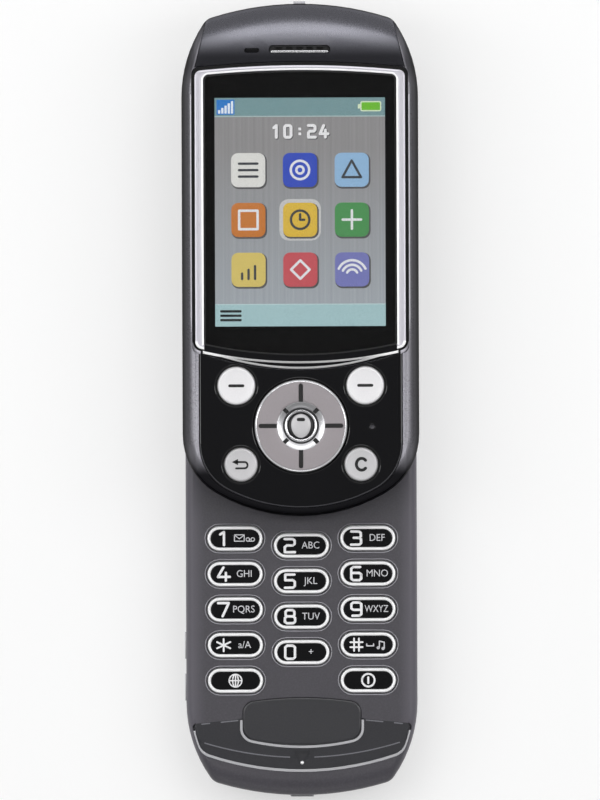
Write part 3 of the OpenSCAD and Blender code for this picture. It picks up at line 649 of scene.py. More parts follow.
def brushed(look, colour, rough=0.26, grain=(1, 0.02, 1), metallic=0.95):
    """Satin metal with a drawn grain."""
    streak = look.noise(0.05, 2, grain)
    look.set(
        base_color=look.mix(streak, shade(colour, 0.9), shade(colour, 1.05)),
        metallic=metallic,
        roughness=rough - 0.06 + 0.12 * streak + 0.05 * look.noise(5, 2),
    )
    look.bump(streak, 0.002, 0.3)


def plated(look, colour, rough=0.1, metallic=1.0):
    """Bright plating with faint handling haze."""
    haze = look.noise(2.2, 4)
    look.set(
        base_color=look.mix(haze, shade(colour, 0.94), colour),
        metallic=metallic,
        roughness=rough + 0.08 * haze ** 2.0,
    )
    look.bump(look.noise(0.7, 2), 0.0015, 0.2)


def gloss(look, colour, rough=0.07, coat=0.3):
    """Gloss moulding with faint dust and wipe marks."""
    wipe = look.noise(7, 3, (1, 0.35, 1))
    look.set(
        base_color=look.mix(look.noise(0.5, 2), colour, shade(colour, 1.25)),
        roughness=rough + 0.07 * wipe ** 3.0,
        coat_weight=coat,
        coat_roughness=0.03,
    )
    look.bump(look.noise(3, 2), 0.002, 0.15)


def turned(look, colour, rough=0.3):
    """Steel turned about the swivel axis."""
    x, y, _ = look.axes()
    rings = look.math("SINE", (x * x + y * y) ** 0.5 * 40000.0)
    look.set(
        base_color=look.mix(look.noise(1.5, 3), shade(colour, 0.88), colour),
        metallic=1.0,
        roughness=rough + 0.05 * rings + 0.08 * look.noise(0.4, 2),
    )
    look.bump(rings, 0.002, 0.3)


def printed(look, colour, rough=0.4):
    """Printed ink: slightly uneven."""
    ink = look.noise(0.25, 3)
    look.set(base_color=look.mix(ink, shade(colour, 0.93), colour), roughness=rough + 0.1 * ink)
    look.bump(ink, 0.002, 0.2)


def board(look, colour):
    """Solder mask over tracks."""
    x, y, _ = look.axes()
    wave = [look.math("PINGPONG", v / (1.3 * MM)) for v in (x, y)]
    track = look.math("GREATER_THAN", wave[0] * wave[1] + 0.12 * look.noise(1.1), 0.13)
    look.set(base_color=look.mix(track, colour, shade(colour, 1.7)),
             roughness=0.3 + 0.1 * look.noise(2))
    look.bump(track, 0.03, 0.4)


def ribbon(look, colour):
    """Polyimide film with copper lines."""
    line = look.math("PINGPONG", look.axes()[0] / (0.4 * MM))
    look.set(
        base_color=look.mix(line * 2.0, shade(colour, 0.7), colour),
        roughness=0.28 + 0.1 * look.noise(1),
    )
    look.bump(line, 0.01, 0.4)


def clear(look):
    """Clear window with a faint wipe haze."""
    look.set(
        base_color=(1, 1, 1), transmission_weight=1.0, ior=1.46,
        roughness=0.012 + 0.03 * look.noise(8, 3) ** 4.0,
    )


def lens(look):
    """Coated lens: dark, with rings of its own centre."""
    look.set(
        base_color=look.ramp(
            look.around("camera_window") / (5 * MM), (0, (0.002, 0.002, 0.004)),
            (0.2, (0.01, 0.008, 0.03)), (0.26, (0.03, 0.02, 0.07)), (0.32, (0.004, 0.004, 0.006)),
            (0.6, (0.012, 0.012, 0.02)), (0.64, (0.003, 0.003, 0.003)),
        ),
        roughness=0.03 + 0.03 * look.noise(3), coat_weight=1.0, coat_roughness=0.02,
    )


def frosted(look, colour):
    """Ribbed lens of the photo light: real ribs in the bump, darker in their troughs as painted
    shade.
    """
    rib = look.math("PINGPONG", look.around("photo_light") / (0.3 * MM))
    look.set(base_color=look.mix(rib * 2.0, shade(colour, 0.75), colour),
             roughness=0.15 + 0.1 * rib, coat_weight=0.6)
    look.bump(rib, 0.05, 0.6)


def lit_ground(look, colour):
    """Lit display: a grey ground of fine upright stripes that pales downward."""
    look.material.cycles.emission_sampling = "NONE"
    stripe = look.noise(0.6, 4, (1, 0.0, 0.0))
    height = (look.axes()[1] - LCD_LOW * MM) / ((LCD_TOP - LCD_LOW) * MM)
    pale = tuple(c * k for c, k in zip(colour, (1.32, 1.47, 1.57)))
    ground = look.mix((0.78 - height) / 0.7, colour, pale)
    stripes = look.mix(1.5 * stripe - 0.3, (0.86, 0.86, 0.86), (1.2, 1.2, 1.2))
    look.set(
        base_color=(0.01, 0.01, 0.01), roughness=0.2 + 0.05 * look.noise(2),
        emission_color=look.mix(1.0, ground, stripes, "MULTIPLY"), emission_strength=0.95,
    )


def lit_marks(look):
    """Lit display: each mark has its own tint."""
    look.material.cycles.emission_sampling = "NONE"
    tint = look.node("ShaderNodeAttribute", {"attribute_name": "tint"}, out="Color")
    dots = look.cells(0.16)
    look.set(
        base_color=(0.01, 0.01, 0.01), roughness=0.2 + 0.05 * look.noise(2),
        emission_color=look.mix(dots * 0.35, tint, (0, 0, 0)), emission_strength=1.0,
    )


# Each finish: how it is made, its colour (or the name of its property) and what else is set
FINISHES = {
    # Frame: painted shade on the lower flanks, at the near end and towards the cap, a light grey
    # top end, and across the rails a painted highlight at the inner edge that falls to painted
    # shade outward.
    "frame_gunmetal": (lacquer, "frame", 0.6, 0.28, 0.1, {
        "dull": ((2, 23.9, 21.0, 0.92), (1, -9.5, -15.5, 0.97), (1, 64, 69, 0.6),
                 (1, 81.2, 81.3, 1, tone(176, 176, 180))),
        "across": ((20.6, 205), (21.3, 190), (21.7, 155), (22.1, 140), (22.6, 125), (23.1, 92),
                   (23.7, 68), (24.3, 48)),
        "edge": 0.4}),
    # Cap: painted shade lower down and towards the earpiece.
    "cap_graphite": (lacquer, "cap", 0.92, 0.26, 0.2, {
        "dull": ((2, 22.6, 19.5, 0.8), (1, 76, 70, 0.9)), "edge": 0.5}),
    "tray_graphite": (moulded, (42, 42, 46), 0.44, 0.16, 0.008),
    "bezel_silver": (brushed, "bezel", 0.28, {"metallic": 0.5}),
    # Light strips on the rails: painted highlights.
    "rail_line": (lacquer, (184, 183, 190), 0.3, 0.3, 0.1, 0.06, 0.05),
    # Panel rim: a painted sheen, grey against the black panel.
    "rim_dark": (moulded, (56, 56, 60), 0.35),
    # Crescent lines: plated wires drawn near-white and barely metallic, their reflection painted
    # in, and brighter towards the ends as a painted highlight.
    "bow_bright": (lacquer, (252, 252, 253), 0.15, 0.24, 0.2, 0.06, 0.03, {
        "across": ((0, 180), (13, 184), (17.5, 250), (20, 252))}),
    "bright_trim": (plated, "chrome", 0.12, 0.75),
    # Key rims: real plating, near-white and barely metallic, so their bright reflection is painted
    # in as colour.
    "key_rim": (plated, (252, 252, 253), 0.18, 0.12),
    "chin_wire": (plated, (204, 204, 208), 0.2, 0.4),
    # Chin lines: painted highlights along the crease and the wings' top edges.
    "crease_line": (moulded, (104, 104, 110), 0.4),
    # Nav collar: white lower half as a painted highlight, painted shade over its upper half.
    "collar_white": (lacquer, "chrome", 0.3, 0.2, 0.2, 0.06, 0.03, {
        "dull": ((1, NAV.y - 1.5, NAV.y + 3, 0.55),)}),
    "legend_grey": (printed, (204, 204, 208)),
    "soft_white": (lacquer, "soft", 0.15, 0.36, 0.2, 0.07, 0.06),
    # Key collars: a real ring, lighter than the body as a painted highlight on the wells' edges.
    "well_rim": (lacquer, (140, 139, 145), 0.5, 0.3, 0.2, 0.06, 0.05),
    "window_glass": (clear,),
    "window_mask": (gloss, (9, 9, 10), 0.06, 0.0),
    "display_grey": (lit_ground, "screen"),
    "display_marks": (lit_marks,),
    "panel_black": (gloss, "panel"),
    "key_field": (gloss, "inlay", 0.1),
    "legend_white": (printed, "legend"),
    "legend_dark": (printed, (9, 9, 10), 0.6),
    "key_silver": (lacquer, "key", 0.15, 0.36, 0.2, 0.07, 0.06),
    "nav_grey": (lacquer, "nav", 0.2, 0.38, 0.15, 0.07, 0.08),
    "gap_black": (moulded, (9, 9, 10), 0.7, 0.2, 0.004, {"fleck": 0.0}),
    "dark_rubber": (moulded, (24, 24, 25), 0.72, 0.2, 0.01),
    "silicone": (moulded, (182, 182, 174), 0.5),
    "circuit_board": (board, (24, 78, 48)),
    "steel": (turned, (196, 197, 200)),
    "slide_white": (moulded, (224, 223, 214), 0.38),
    "ribbon_amber": (ribbon, (206, 130, 40)),
    # Keypad body: paler towards the flanks as a painted sheen.
    "body_grey": (moulded, "body", 0.42, 0.16, 0.008, {"sides": (19.4, 23.2, 2.0)}),
    "back_grey": (moulded, "back", 0.46, 0.16, 0.008),
    "trim_dark": (moulded, "trim", 0.34, 0.14, 0.005, {"coat": 0.2}),
    "tab_dark": (moulded, "tab", 0.36, 0.14, 0.005, {"coat": 0.2}),
    "cell_dark": (moulded, (44, 46, 52), 0.4, 0.3, 0.003),
    "black_plastic": (moulded, (26, 26, 28), 0.5),
    "lens_glass": (lens,),
    "light_lens": (frosted, (236, 234, 222)),
    "connector_grey": (brushed, (205, 205, 208), 0.3, (0.02, 1, 1)),
    "aerial_brass": (brushed, (196, 172, 110), 0.3, (0.05, 1, 1)),
    "side_key": (lacquer, (150, 150, 155), 0.5, 0.35, 0.2, 0.09, 0.06),
}


def finish(name):
    """The material of that name, made when first asked for."""
    label = "finish_" + name
    if label not in bpy.data.materials:
        make, *values = FINISHES[name]
        options = values.pop() if values and isinstance(values[-1], dict) else {}
        if values and isinstance(values[0], str):
            values[0] = getattr(bpy.context.scene.phone_finishes, values[0])
        elif values:
            values[0] = tone(*values[0])
        make(Look(label), *values, **options)
    return bpy.data.materials[label]


# Signs, as lines of points on a grid one wide and SIGN_HIGH high

SIX = [(0.86, 1.6), (0.24, 1.6), (0.05, 1.4), (0.05, 0.18), (0.22, 0), (0.78, 0), (0.95, 0.18),
       (0.95, 0.7), (0.78, 0.88), (0.05, 0.88)]
SIGNS = {
    "1": [[(0.22, 1.3), (0.56, 1.6), (0.56, 0)]],
    "2": [[(0.04, 1.6), (0.78, 1.6), (0.95, 1.42), (0.95, 1.0), (0.78, 0.82), (0.24, 0.82),
           (0.05, 0.62), (0.05, 0), (0.98, 0)]],
    "3": [[(0.06, 1.6), (0.76, 1.6), (0.93, 1.42), (0.93, 1.0), (0.78, 0.83), (0.28, 0.83)],
          [(0.78, 0.83), (0.95, 0.66), (0.95, 0.18), (0.78, 0), (0.04, 0)]],
    "4": [[(0.5, 1.6), (0.0, 0.46), (1.08, 0.46)], [(0.72, 0.95), (0.72, 0)]],
    "5": [[(0.92, 1.6), (0.08, 1.6), (0.08, 0.92), (0.76, 0.92), (0.95, 0.74), (0.95, 0.18),
           (0.78, 0), (0.05, 0)]],
    "6": [SIX],
    "7": [[(0.0, 1.6), (0.98, 1.6), (0.42, 0)]],
    "8": [[(0.24, 0.84), (0.1, 1.0), (0.1, 1.42), (0.26, 1.6), (0.74, 1.6), (0.9, 1.42),
           (0.9, 1.0), (0.76, 0.84), (0.24, 0.84)],
          [(0.24, 0.84), (0.04, 0.66), (0.04, 0.18), (0.22, 0), (0.78, 0), (0.96, 0.18),
           (0.96, 0.66), (0.76, 0.84)]],
    "9": [[(1 - x, 1.6 - y) for x, y in SIX]],
    "0": [[(0.24, 0), (0.76, 0), (0.94, 0.2), (0.94, 1.4), (0.76, 1.6), (0.24, 1.6), (0.06, 1.4),
           (0.06, 0.2), (0.24, 0)]],
    "*": [[(0.5, 0.05), (0.5, 1.55)], [(-0.1, 0.42), (1.1, 1.18)], [(-0.1, 1.18), (1.1, 0.42)]],
    "#": [[(0.28, 0.05), (0.28, 1.55)], [(0.72, 0.05), (0.72, 1.55)],
          [(-0.05, 0.5), (1.05, 0.5)], [(-0.05, 1.1), (1.05, 1.1)]],
}


def ring_line(cx, cy, r, a0=0, a1=360, n=24, squash=1.0):
    return [(cx + squash * (x - cx), y) for x, y in arc(cx, cy, r, a0, a1, n)]


def closed_ring(cx, cy, r, n=24, squash=1.0):
    line = ring_line(cx, cy, r, n=n, squash=squash)
    return line[:-1] + line[:1]


def set_sign(bm, sign, cx, cy, z, wide, high, stroke):
    """Draws one sign, its strokes kept even in both directions."""
    lines = [
        [(cx + (x - 0.5) * wide, cy + (y / SIGN_HIGH - 0.5) * high) for x, y in line]
        for line in SIGNS[sign]
    ]
    add_strokes(bm, lines, stroke, z)


# Operators, one for each piece or group of like pieces


class Build(bpy.types.Operator):
    """Base of the operators below"""

    bl_idname = "phone.build"
    bl_label = "Build"

    def execute(self, context):
        self.make()
        return {"FINISHED"}


class PHONE_OT_frame(Build):
    """Frame of the display half, with its rails beside the display"""

    bl_idname = "phone.frame"
    bl_label = "Frame"

    def make(self):
        rails = polished("upper_frame")
        tree, lines = BVHTree.FromBMesh(rails), bmesh.new()
        # A light strip along each rail's inner edge: a painted highlight.
        for side in (-1, 1):
            rings = []
            for y in range(LINE_LOW, LINE_TOP + 1, 3):
                half = 0.02 if y in (LINE_LOW, LINE_TOP) else 0.1
                inner, outer = (
                    tree.ray_cast(Vector((side * x, y, 40)), Vector((0, 0, -1)))[0]
                    for x in (LINE_X - half, LINE_X + half))
                rings.append([(p.x, y, p.z + rise) for p, rise in (
                    (inner, -0.1), (inner, 0.015), (outer, 0.015), (outer, -0.1))])
            loft(lines, rings)
        piece(rails, "frame_rails", UPPER, "frame_gunmetal", ["upper_frame"])
        piece(lines, "rail_lines", UPPER, "rail_line")
        rounded("upper_rear_cover", "tray", "tray_graphite")


class PHONE_OT_cap(Build):
    """Cap above the display, with the earpiece slot and the lamp window"""

    bl_idname = "phone.cap"
    bl_label = "Top cap"

    def make(self):
        rounded("earpiece_cap", "top_cap")
        low, high = span("earpiece_grille")
        cx, cy = middle("earpiece_grille").xy
        length, width, floor = high.x - low.x, high.y - low.y, low.z + 1.1
        plate = prism(bmesh.new(), moved(stadium(length, width), cx, cy), low.z, floor)
        holes = bmesh.new()
        for i in range(-2, 3):
            slot = moved(stadium(1.5, 0.6), cx + 2.1 * i, cy + 0.25)
            prism(holes, slot, low.z - 1, low.z + 3)
        piece(carve(plate, holes), "earpiece_plate", UPPER, "black_plastic",
              ["earpiece_grille"])
        lip = prism(bmesh.new(), moved(stadium(length - 0.7, 0.5), cx, cy - width / 2 + 0.26),
                    floor, high.z)
        piece(soften(lip, 0.12), "earpiece_lip", UPPER, "bright_trim")
        rounded("indicator_window", "lamp_window", "panel_black", 0.08)


class PHONE_OT_display(Build):
    """Bezel, window and lit display"""

    bl_idname = "phone.display"
    bl_label = "Display"

    def make(self):
        z0, z1 = (corner.z for corner in span("display_bezel"))
        outer, inner = bezel_edge(0.5), bezel_mouth(0.56)
        rings = [
            at(bezel_edge(0.12), z0), at(bezel_edge(0.12), z1 - 0.3), at(bezel_edge(0.2), z1 - 0.1),
            at(outer, z1 - 0.03), between(outer, inner, 0.2, z1 - 0.08),
            between(outer, inner, 0.8, z1 - 0.08), at(inner, z1 - 0.03),
            at(bezel_mouth(0.2), z1 - 0.1), at(bezel_mouth(0.2), z0),
        ]
        piece(loft(bmesh.new(), rings, True), "bezel", UPPER, "bezel_silver",
              ["display_bezel"])
        # Bright beads along the bezel's outer and inner edges: painted highlights.
        section = ((0, z1 - 0.2), (0, z1 - 0.03), (0.25, z1 + 0.01), (0.75, z1 + 0.01),
                   (1, z1 - 0.03), (1, z1 - 0.2))
        lines = bead(bmesh.new(), bezel_edge(0.13), bezel_edge(0.6), section,
                     lambda x, y: abs(x) > 18 and y < BEZEL_TOP - 3)
        bead(lines, bezel_mouth(0.22), bezel_mouth(0.58), section,
             lambda x, y: y > WINDOW_LOW + 3)
        piece(lines, "bezel_lines", UPPER, "key_rim")
        section = ((0, z0 + 0.1), (0, z1 + 0.1), (0.3, z1 + 0.2), (1, z1 + 0.2), (1, z0 + 0.1))
        corners = bead(bmesh.new(), bezel_edge(-0.34), bezel_edge(-0.5, 0), section,
                       lambda x, y: abs(x) > 20.2 and y < 14)
        piece(corners, "rail_corners", UPPER, "frame_gunmetal")
        # A black gasket fills the gap round the bezel: partly a real gasket, partly painted shade
        # of the gap.
        rings = [at(bezel_edge(d, lift), z0 + rise) for d, lift, rise in (
            (0.3, 0.5, 0.1), (0.3, 0.5, 1.0), (-0.46, 0, 1.0), (-0.46, 0, 0.1))]
        piece(loft(bmesh.new(), rings, True), "bezel_gasket", UPPER, "gap_black")
        low, high = span("display_window")
        glass = stack(window_edge, (-0.04, low.z + 0.8), (-0.04, high.z - 0.12), (-0.16, high.z))
        piece(glass, "window_glass", UPPER, "window_glass", ["display_window"])
        mask = prism(bmesh.new(), window_edge(0.19), low.z, low.z + 0.7)
        piece(mask, "window_mask", UPPER, "window_mask")
        seal = stack(bezel_mouth, (0.21, high.z + 0.003), (0.21, high.z + 0.05),
                     (-0.2, high.z + 0.05), (-0.2, high.z + 0.003), wrap=True)
        piece(seal, "window_seal", UPPER, "gap_black")
        field = rounded_box(2 * LCD_HALF, LCD_TOP - LCD_LOW, 0.25)
        field, z = moved(field, 0, (LCD_LOW + LCD_TOP) / 2), low.z + 0.73
        lit = prism(bmesh.new(), field, low.z + 0.7, z)
        piece(lit, "screen_ground", UPPER, "display_grey")
        self.marks(z)

    def marks(self, z):
        """Plain marks on the display: bars, a clock and a grid of tiles."""
        bm = bmesh.new()
        tint = bm.verts.layers.float_color.new("tint")

        def tinted(start, colour):
            bm.verts.ensure_lookup_table()
            for v in list(bm.verts)[start:]:
                v[tint] = (*tone(*colour), 1)

        def block(w, h, c, cx, cy, colour, level=1):
            start = len(bm.verts)
            prism(bm, moved(rounded_box(w, h, c), cx, cy), z, z + LAYER * level)
            tinted(start, colour)

        def strokes(lines, width, colour, level):
            start = len(bm.verts)
            add_strokes(bm, lines, width, z + LAYER * level, LAYER / 2)
            tinted(start, colour)

        wide = 2 * LCD_HALF
        block(wide, 3.7, 0.05, 0, LCD_TOP - 1.85, (122, 157, 161))
        block(wide, 0.22, 0.02, 0, LCD_TOP - 3.8, (176, 198, 198))
        block(wide, 4.4, 0.05, 0, LCD_LOW + 2.2, (170, 204, 208))
        block(wide, 0.22, 0.02, 0, LCD_LOW + 4.5, (190, 216, 219))
        block(3.7, 3.1, 0.15, -LCD_HALF + 2.25, LCD_TOP - 1.9, (46, 128, 210), 2)
        for i in range(5):
            high = 0.7 + 0.46 * i
            block(0.46, high, 0.06, -LCD_HALF + 0.95 + 0.66 * i, LCD_TOP - 3.2 + high / 2,
                  (236, 246, 255), 3)
        block(4.3, 2.1, 0.4, LCD_HALF - 2.9, LCD_TOP - 1.8, (224, 240, 206), 2)
        block(3.8, 1.6, 0.2, LCD_HALF - 2.9, LCD_TOP - 1.8, (112, 196, 44), 3)
        block(0.5, 0.9, 0.1, LCD_HALF - 5.3, LCD_TOP - 1.8, (224, 240, 206), 2)
        for i in range(3):
            block(4.4, 0.5, 0.2, -LCD_HALF + 3.2, LCD_LOW + 1.3 + 0.9 * i, (24, 30, 32), 2)
        clock = LCD_TOP - 6.9
        for i, digit in enumerate("10 24"):
            x = (i - 2) * 2.45
            if digit == " ":
                for dy in (-0.5, 0.5):
                    block(0.55, 0.55, 0.1, x, clock + dy, (246, 246, 248), 3)
            else:
                for off, colour, level in ((0.16, (60, 60, 62), 2), (0, (246, 246, 248), 3)):
                    lines = [
                        [(x + off + (p - 0.5) * 1.5, clock - off + (q / SIGN_HIGH - 0.5) * 2.4)
                         for p, q in line] for line in SIGNS[digit]]
                    strokes(lines, 0.6, colour, level)
        side, pitch = size("tile"), size("tile_pitch")
        fills = ((232, 232, 228), (48, 78, 196), (150, 190, 226), (206, 124, 52), (228, 190, 66),
                 (74, 150, 84), (222, 200, 110), (204, 84, 92), (120, 124, 190))
        for i, fill in enumerate(fills):
            cx, cy = (i % 3 - 1) * pitch, LCD_TOP - 14.8 - (i // 3) * 10.2
            if i == 4:
                block(side + 1.5, side + 1.5, 1.9, cx, cy, (206, 206, 206))
            block(side + 0.3, side + 0.3, 1.5, cx + 0.18, cy - 0.22, (84, 84, 86), 2)
            block(side, side, 1.4, cx, cy, fill, 3)
            ink = (60, 64, 70) if i in (0, 2, 4, 6) else (238, 240, 244)
            strokes(self.sign(i, cx, cy, side * 0.27), 0.5, ink, 5)
        piece(bm, "screen_marks", UPPER, "display_marks")

    @staticmethod
    def sign(i, cx, cy, r):
        """One of nine plain geometric signs."""
        box = [(cx + a * r, cy + b * r) for a, b in ((-1, -1), (1, -1), (1, 1), (-1, 1), (-1, -1))]
        tri = [(cx - r, cy - 0.8 * r), (cx + r, cy - 0.8 * r), (cx, cy + r), (cx - r, cy - 0.8 * r)]
        return [
            [[(cx - r, cy + k * 0.7 * r), (cx + r, cy + k * 0.7 * r)] for k in (-1, 0, 1)],
            [closed_ring(cx, cy, r), closed_ring(cx, cy, r * 0.4, 12)],
            [tri],
            [box],
            [closed_ring(cx, cy, r), [(cx, cy), (cx, cy + 0.6 * r)],
             [(cx, cy), (cx + 0.45 * r, cy)]],
            [[(cx - r, cy), (cx + r, cy)], [(cx, cy - r), (cx, cy + r)]],
            [[(cx + k * 0.7 * r, cy - r), (cx + k * 0.7 * r, cy + k * 0.4 * r)]
             for k in (-1, 0, 1)],
            [[(cx - r, cy), (cx, cy - r), (cx + r, cy), (cx, cy + r), (cx - r, cy)]],
            [ring_line(cx, cy - 0.6 * r, r * k, 25, 155, 12) for k in (0.6, 1.1, 1.6)],
        ][i]


class PHONE_OT_panel(Build):
    """Gloss key panel and the dark crescent above it, with its bright lines"""

    bl_idname = "phone.panel"
    bl_label = "Key panel"

    def make(self):
        z0, z1 = span("key_panel")[0].z, PANEL_Z
        plate = stack(panel_edge, (0, z0), (0, z1 - 0.3), (0.05, z1 - 0.14), (0.16, z1 - 0.03),
                      (0.34, z1))
        holes, painted_shade_rings = bmesh.new(), bmesh.new()
        for key in ROUND_KEYS:
            r = radius(key)
            self.hole(holes, middle(key), r + 0.06, z0, z1)
            r -= KEY_STEP
            # Black rings round each key below the panel: painted shade in the gap.
            tube(painted_shade_rings, r + 0.1, r + 0.5, WEB_Z + 0.45, z1 - 0.6, middle(key))
        self.hole(holes, NAV, NAV_R + 0.36, z0, z1)
        self.hole(holes, (14.6, -5.5), 0.45, z0, z1)
        # A black ring under the nav disc's gap: painted shade.
        tube(painted_shade_rings, NAV_R - 0.8, NAV_R + 0.35, WEB_Z, WEB_Z + 0.08, NAV)
        piece(carve(plate, holes), "key_plate", UPPER, "panel_black",
              ["key_panel"], 12)

        def from_top(d):
            """The panel's edge, counted from its hollow top."""
            edge = panel_edge(d)
            return edge[len(edge) // 2:] + edge[:len(edge) // 2]

        # A grey bead along the panel's near edge: a painted sheen.
        section = ((0, z1 - 0.3), (0, z1 - 0.12), (0.25, z1 - 0.01), (0.75, z1 + 0.012),
                   (1, z1 - 0.03), (1, z1 - 0.3))
        rim = bead(bmesh.new(), from_top(0.02), from_top(0.34), section, lambda x, y: y < 0)
        piece(rim, "panel_rim", UPPER, "rim_dark")
        piece(painted_shade_rings, "key_moats", UPPER, "gap_black")
        self.crescent(z0, span("key_panel_trim")[1].z)

    @staticmethod
    def hole(bm, centre, r, z0, z1):
        """A cutter for a hole with a rounded mouth."""
        lathe(bm, [(0, z0 - 2), (r, z0 - 2), (r, z1 - 0.2), (r + 0.03, z1 - 0.1),
                   (r + 0.08, z1 - 0.04), (r + 0.16, z1), (r + 0.2, z1 + 2), (0, z1 + 2)], centre)

    @staticmethod
    def crescent(z0, z1):
        """Dark crescent with two bright lines that meet at its ends, and the window's dark lip."""
        centre, bezel_z = WINDOW_LOW + WINDOW_BOW, span("display_bezel")[1].z

        def level(y):
            return lambda x: centre - math.sqrt((centre - y) ** 2 - x * x)

        def bow(name, look, reach, low, top, z, section, nodes=()):
            """A piece with its section laid between a lower and an upper line."""
            rings = []
            for i in range(49):
                x = reach * math.sin(math.pi / 2 * (i / 24 - 1))
                a, b = low(x), top(x)
                rings.append([(x, a + (b - a) * f, z + rise) for f, rise in section])
            piece(loft(bmesh.new(), rings), name, UPPER, look, nodes)

        def panel(x):
            return CRESCENT_LOW + PANEL_BOW - math.sqrt(PANEL_BOW ** 2 - x * x)

        def line(x):
            return level(BEZEL_LOW - 0.14)(x) - 0.08 * min(1, max(0, abs(x) / 4 - 3.3))

        def ridge(x):
            return min(CRESCENT_LOW + 54.15 - math.sqrt(54 ** 2 - x * x), line(x) + 0.1)

        bow("crescent", "panel_black", 20.1, panel, level(BEZEL_LOW - 0.08), z1, (
            (0, z0 + 0.1 - z1), (0, -0.36), (0.5, -0.4), (1, -0.36), (1, z0 + 0.1 - z1)),
            ["key_panel_trim"])
        # The bright lines carry a painted highlight that brightens towards their ends.
        bow("crescent_ridge", "bow_bright", 17.2, ridge,
            lambda x: min(ridge(x) + 0.46, line(x) + 0.14), z1, (
                (0, -0.5), (0, -0.16), (0.2, -0.04), (0.5, 0), (0.8, -0.04), (1, -0.16), (1, -0.5)))
        foot = z1 - 0.5 - bezel_z
        bow("crescent_line", "bow_bright", 20.0, line, level(BEZEL_LOW + 0.34), bezel_z, (
            (0, foot), (0, -0.12), (0.25, -0.02), (0.5, 0), (0.75, -0.02), (1, -0.12), (1, foot)))
        bow("bezel_lip", "panel_black", 19.75, level(BEZEL_LOW + 0.3), level(WINDOW_LOW + 0.75),
            bezel_z, ((0, -0.3), (0, 0.02), (1, 0.02), (1, -0.3)))


class PHONE_OT_round_keys(Build):
    """Two soft keys, the return key and the clear key"""

    bl_idname = "phone.round_keys"
    bl_label = "Round keys"

    def make(self):
        for key in ROUND_KEYS:
            low, high = span(key)
            cx, cy = middle(key).xy
            r, top, flange, foot = radius(key) - KEY_STEP, high.z, WEB_Z + 0.3, low.z + 0.06
            cap = lathe(bmesh.new(), [
                (0, top - 0.06), (r * 0.5, top - 0.05), (r - 0.62, top - 0.02), (r - 0.46, top),
                (r - 0.34, top - 0.01), (r - 0.2, top - 0.07), (r - 0.07, top - 0.2),
                (r, top - 0.42), (r, flange), (r + KEY_STEP, flange), (r + KEY_STEP, WEB_Z - 0.25),
                (1.1, WEB_Z - 0.25), (1.1, foot), (0, foot),
            ], (cx, cy))
            look = "soft_white" if "soft" in key else "key_silver"
            piece(cap, key + "_cap", key, look, [key])
            mark, z0, z1 = bmesh.new(), top - 0.065, top - 0.025
            if "soft" in key:
                prism(mark, moved(stadium(size("dash"), 0.6), cx, cy), z0, z1)
            elif key == "clear_key":
                add_strokes(mark, [ring_line(cx + 0.1, cy, 1.2, 42, 318, 28, 0.9)], 0.62, z1)
            else:
                hook = [(-1.0, 0.55), (0.7, 0.55), *arc(0.7, -0.1, 0.65, 70, -80, 8), (-1.0, -0.75)]
                add_strokes(mark, [moved(hook, cx, cy)], 0.4, z1)
                prism(mark, moved([(-1.9, 0.55), (-0.6, -0.08), (-0.6, 1.18)], cx, cy), z0, z1)
            piece(mark, key + "_mark", key, "legend_dark")


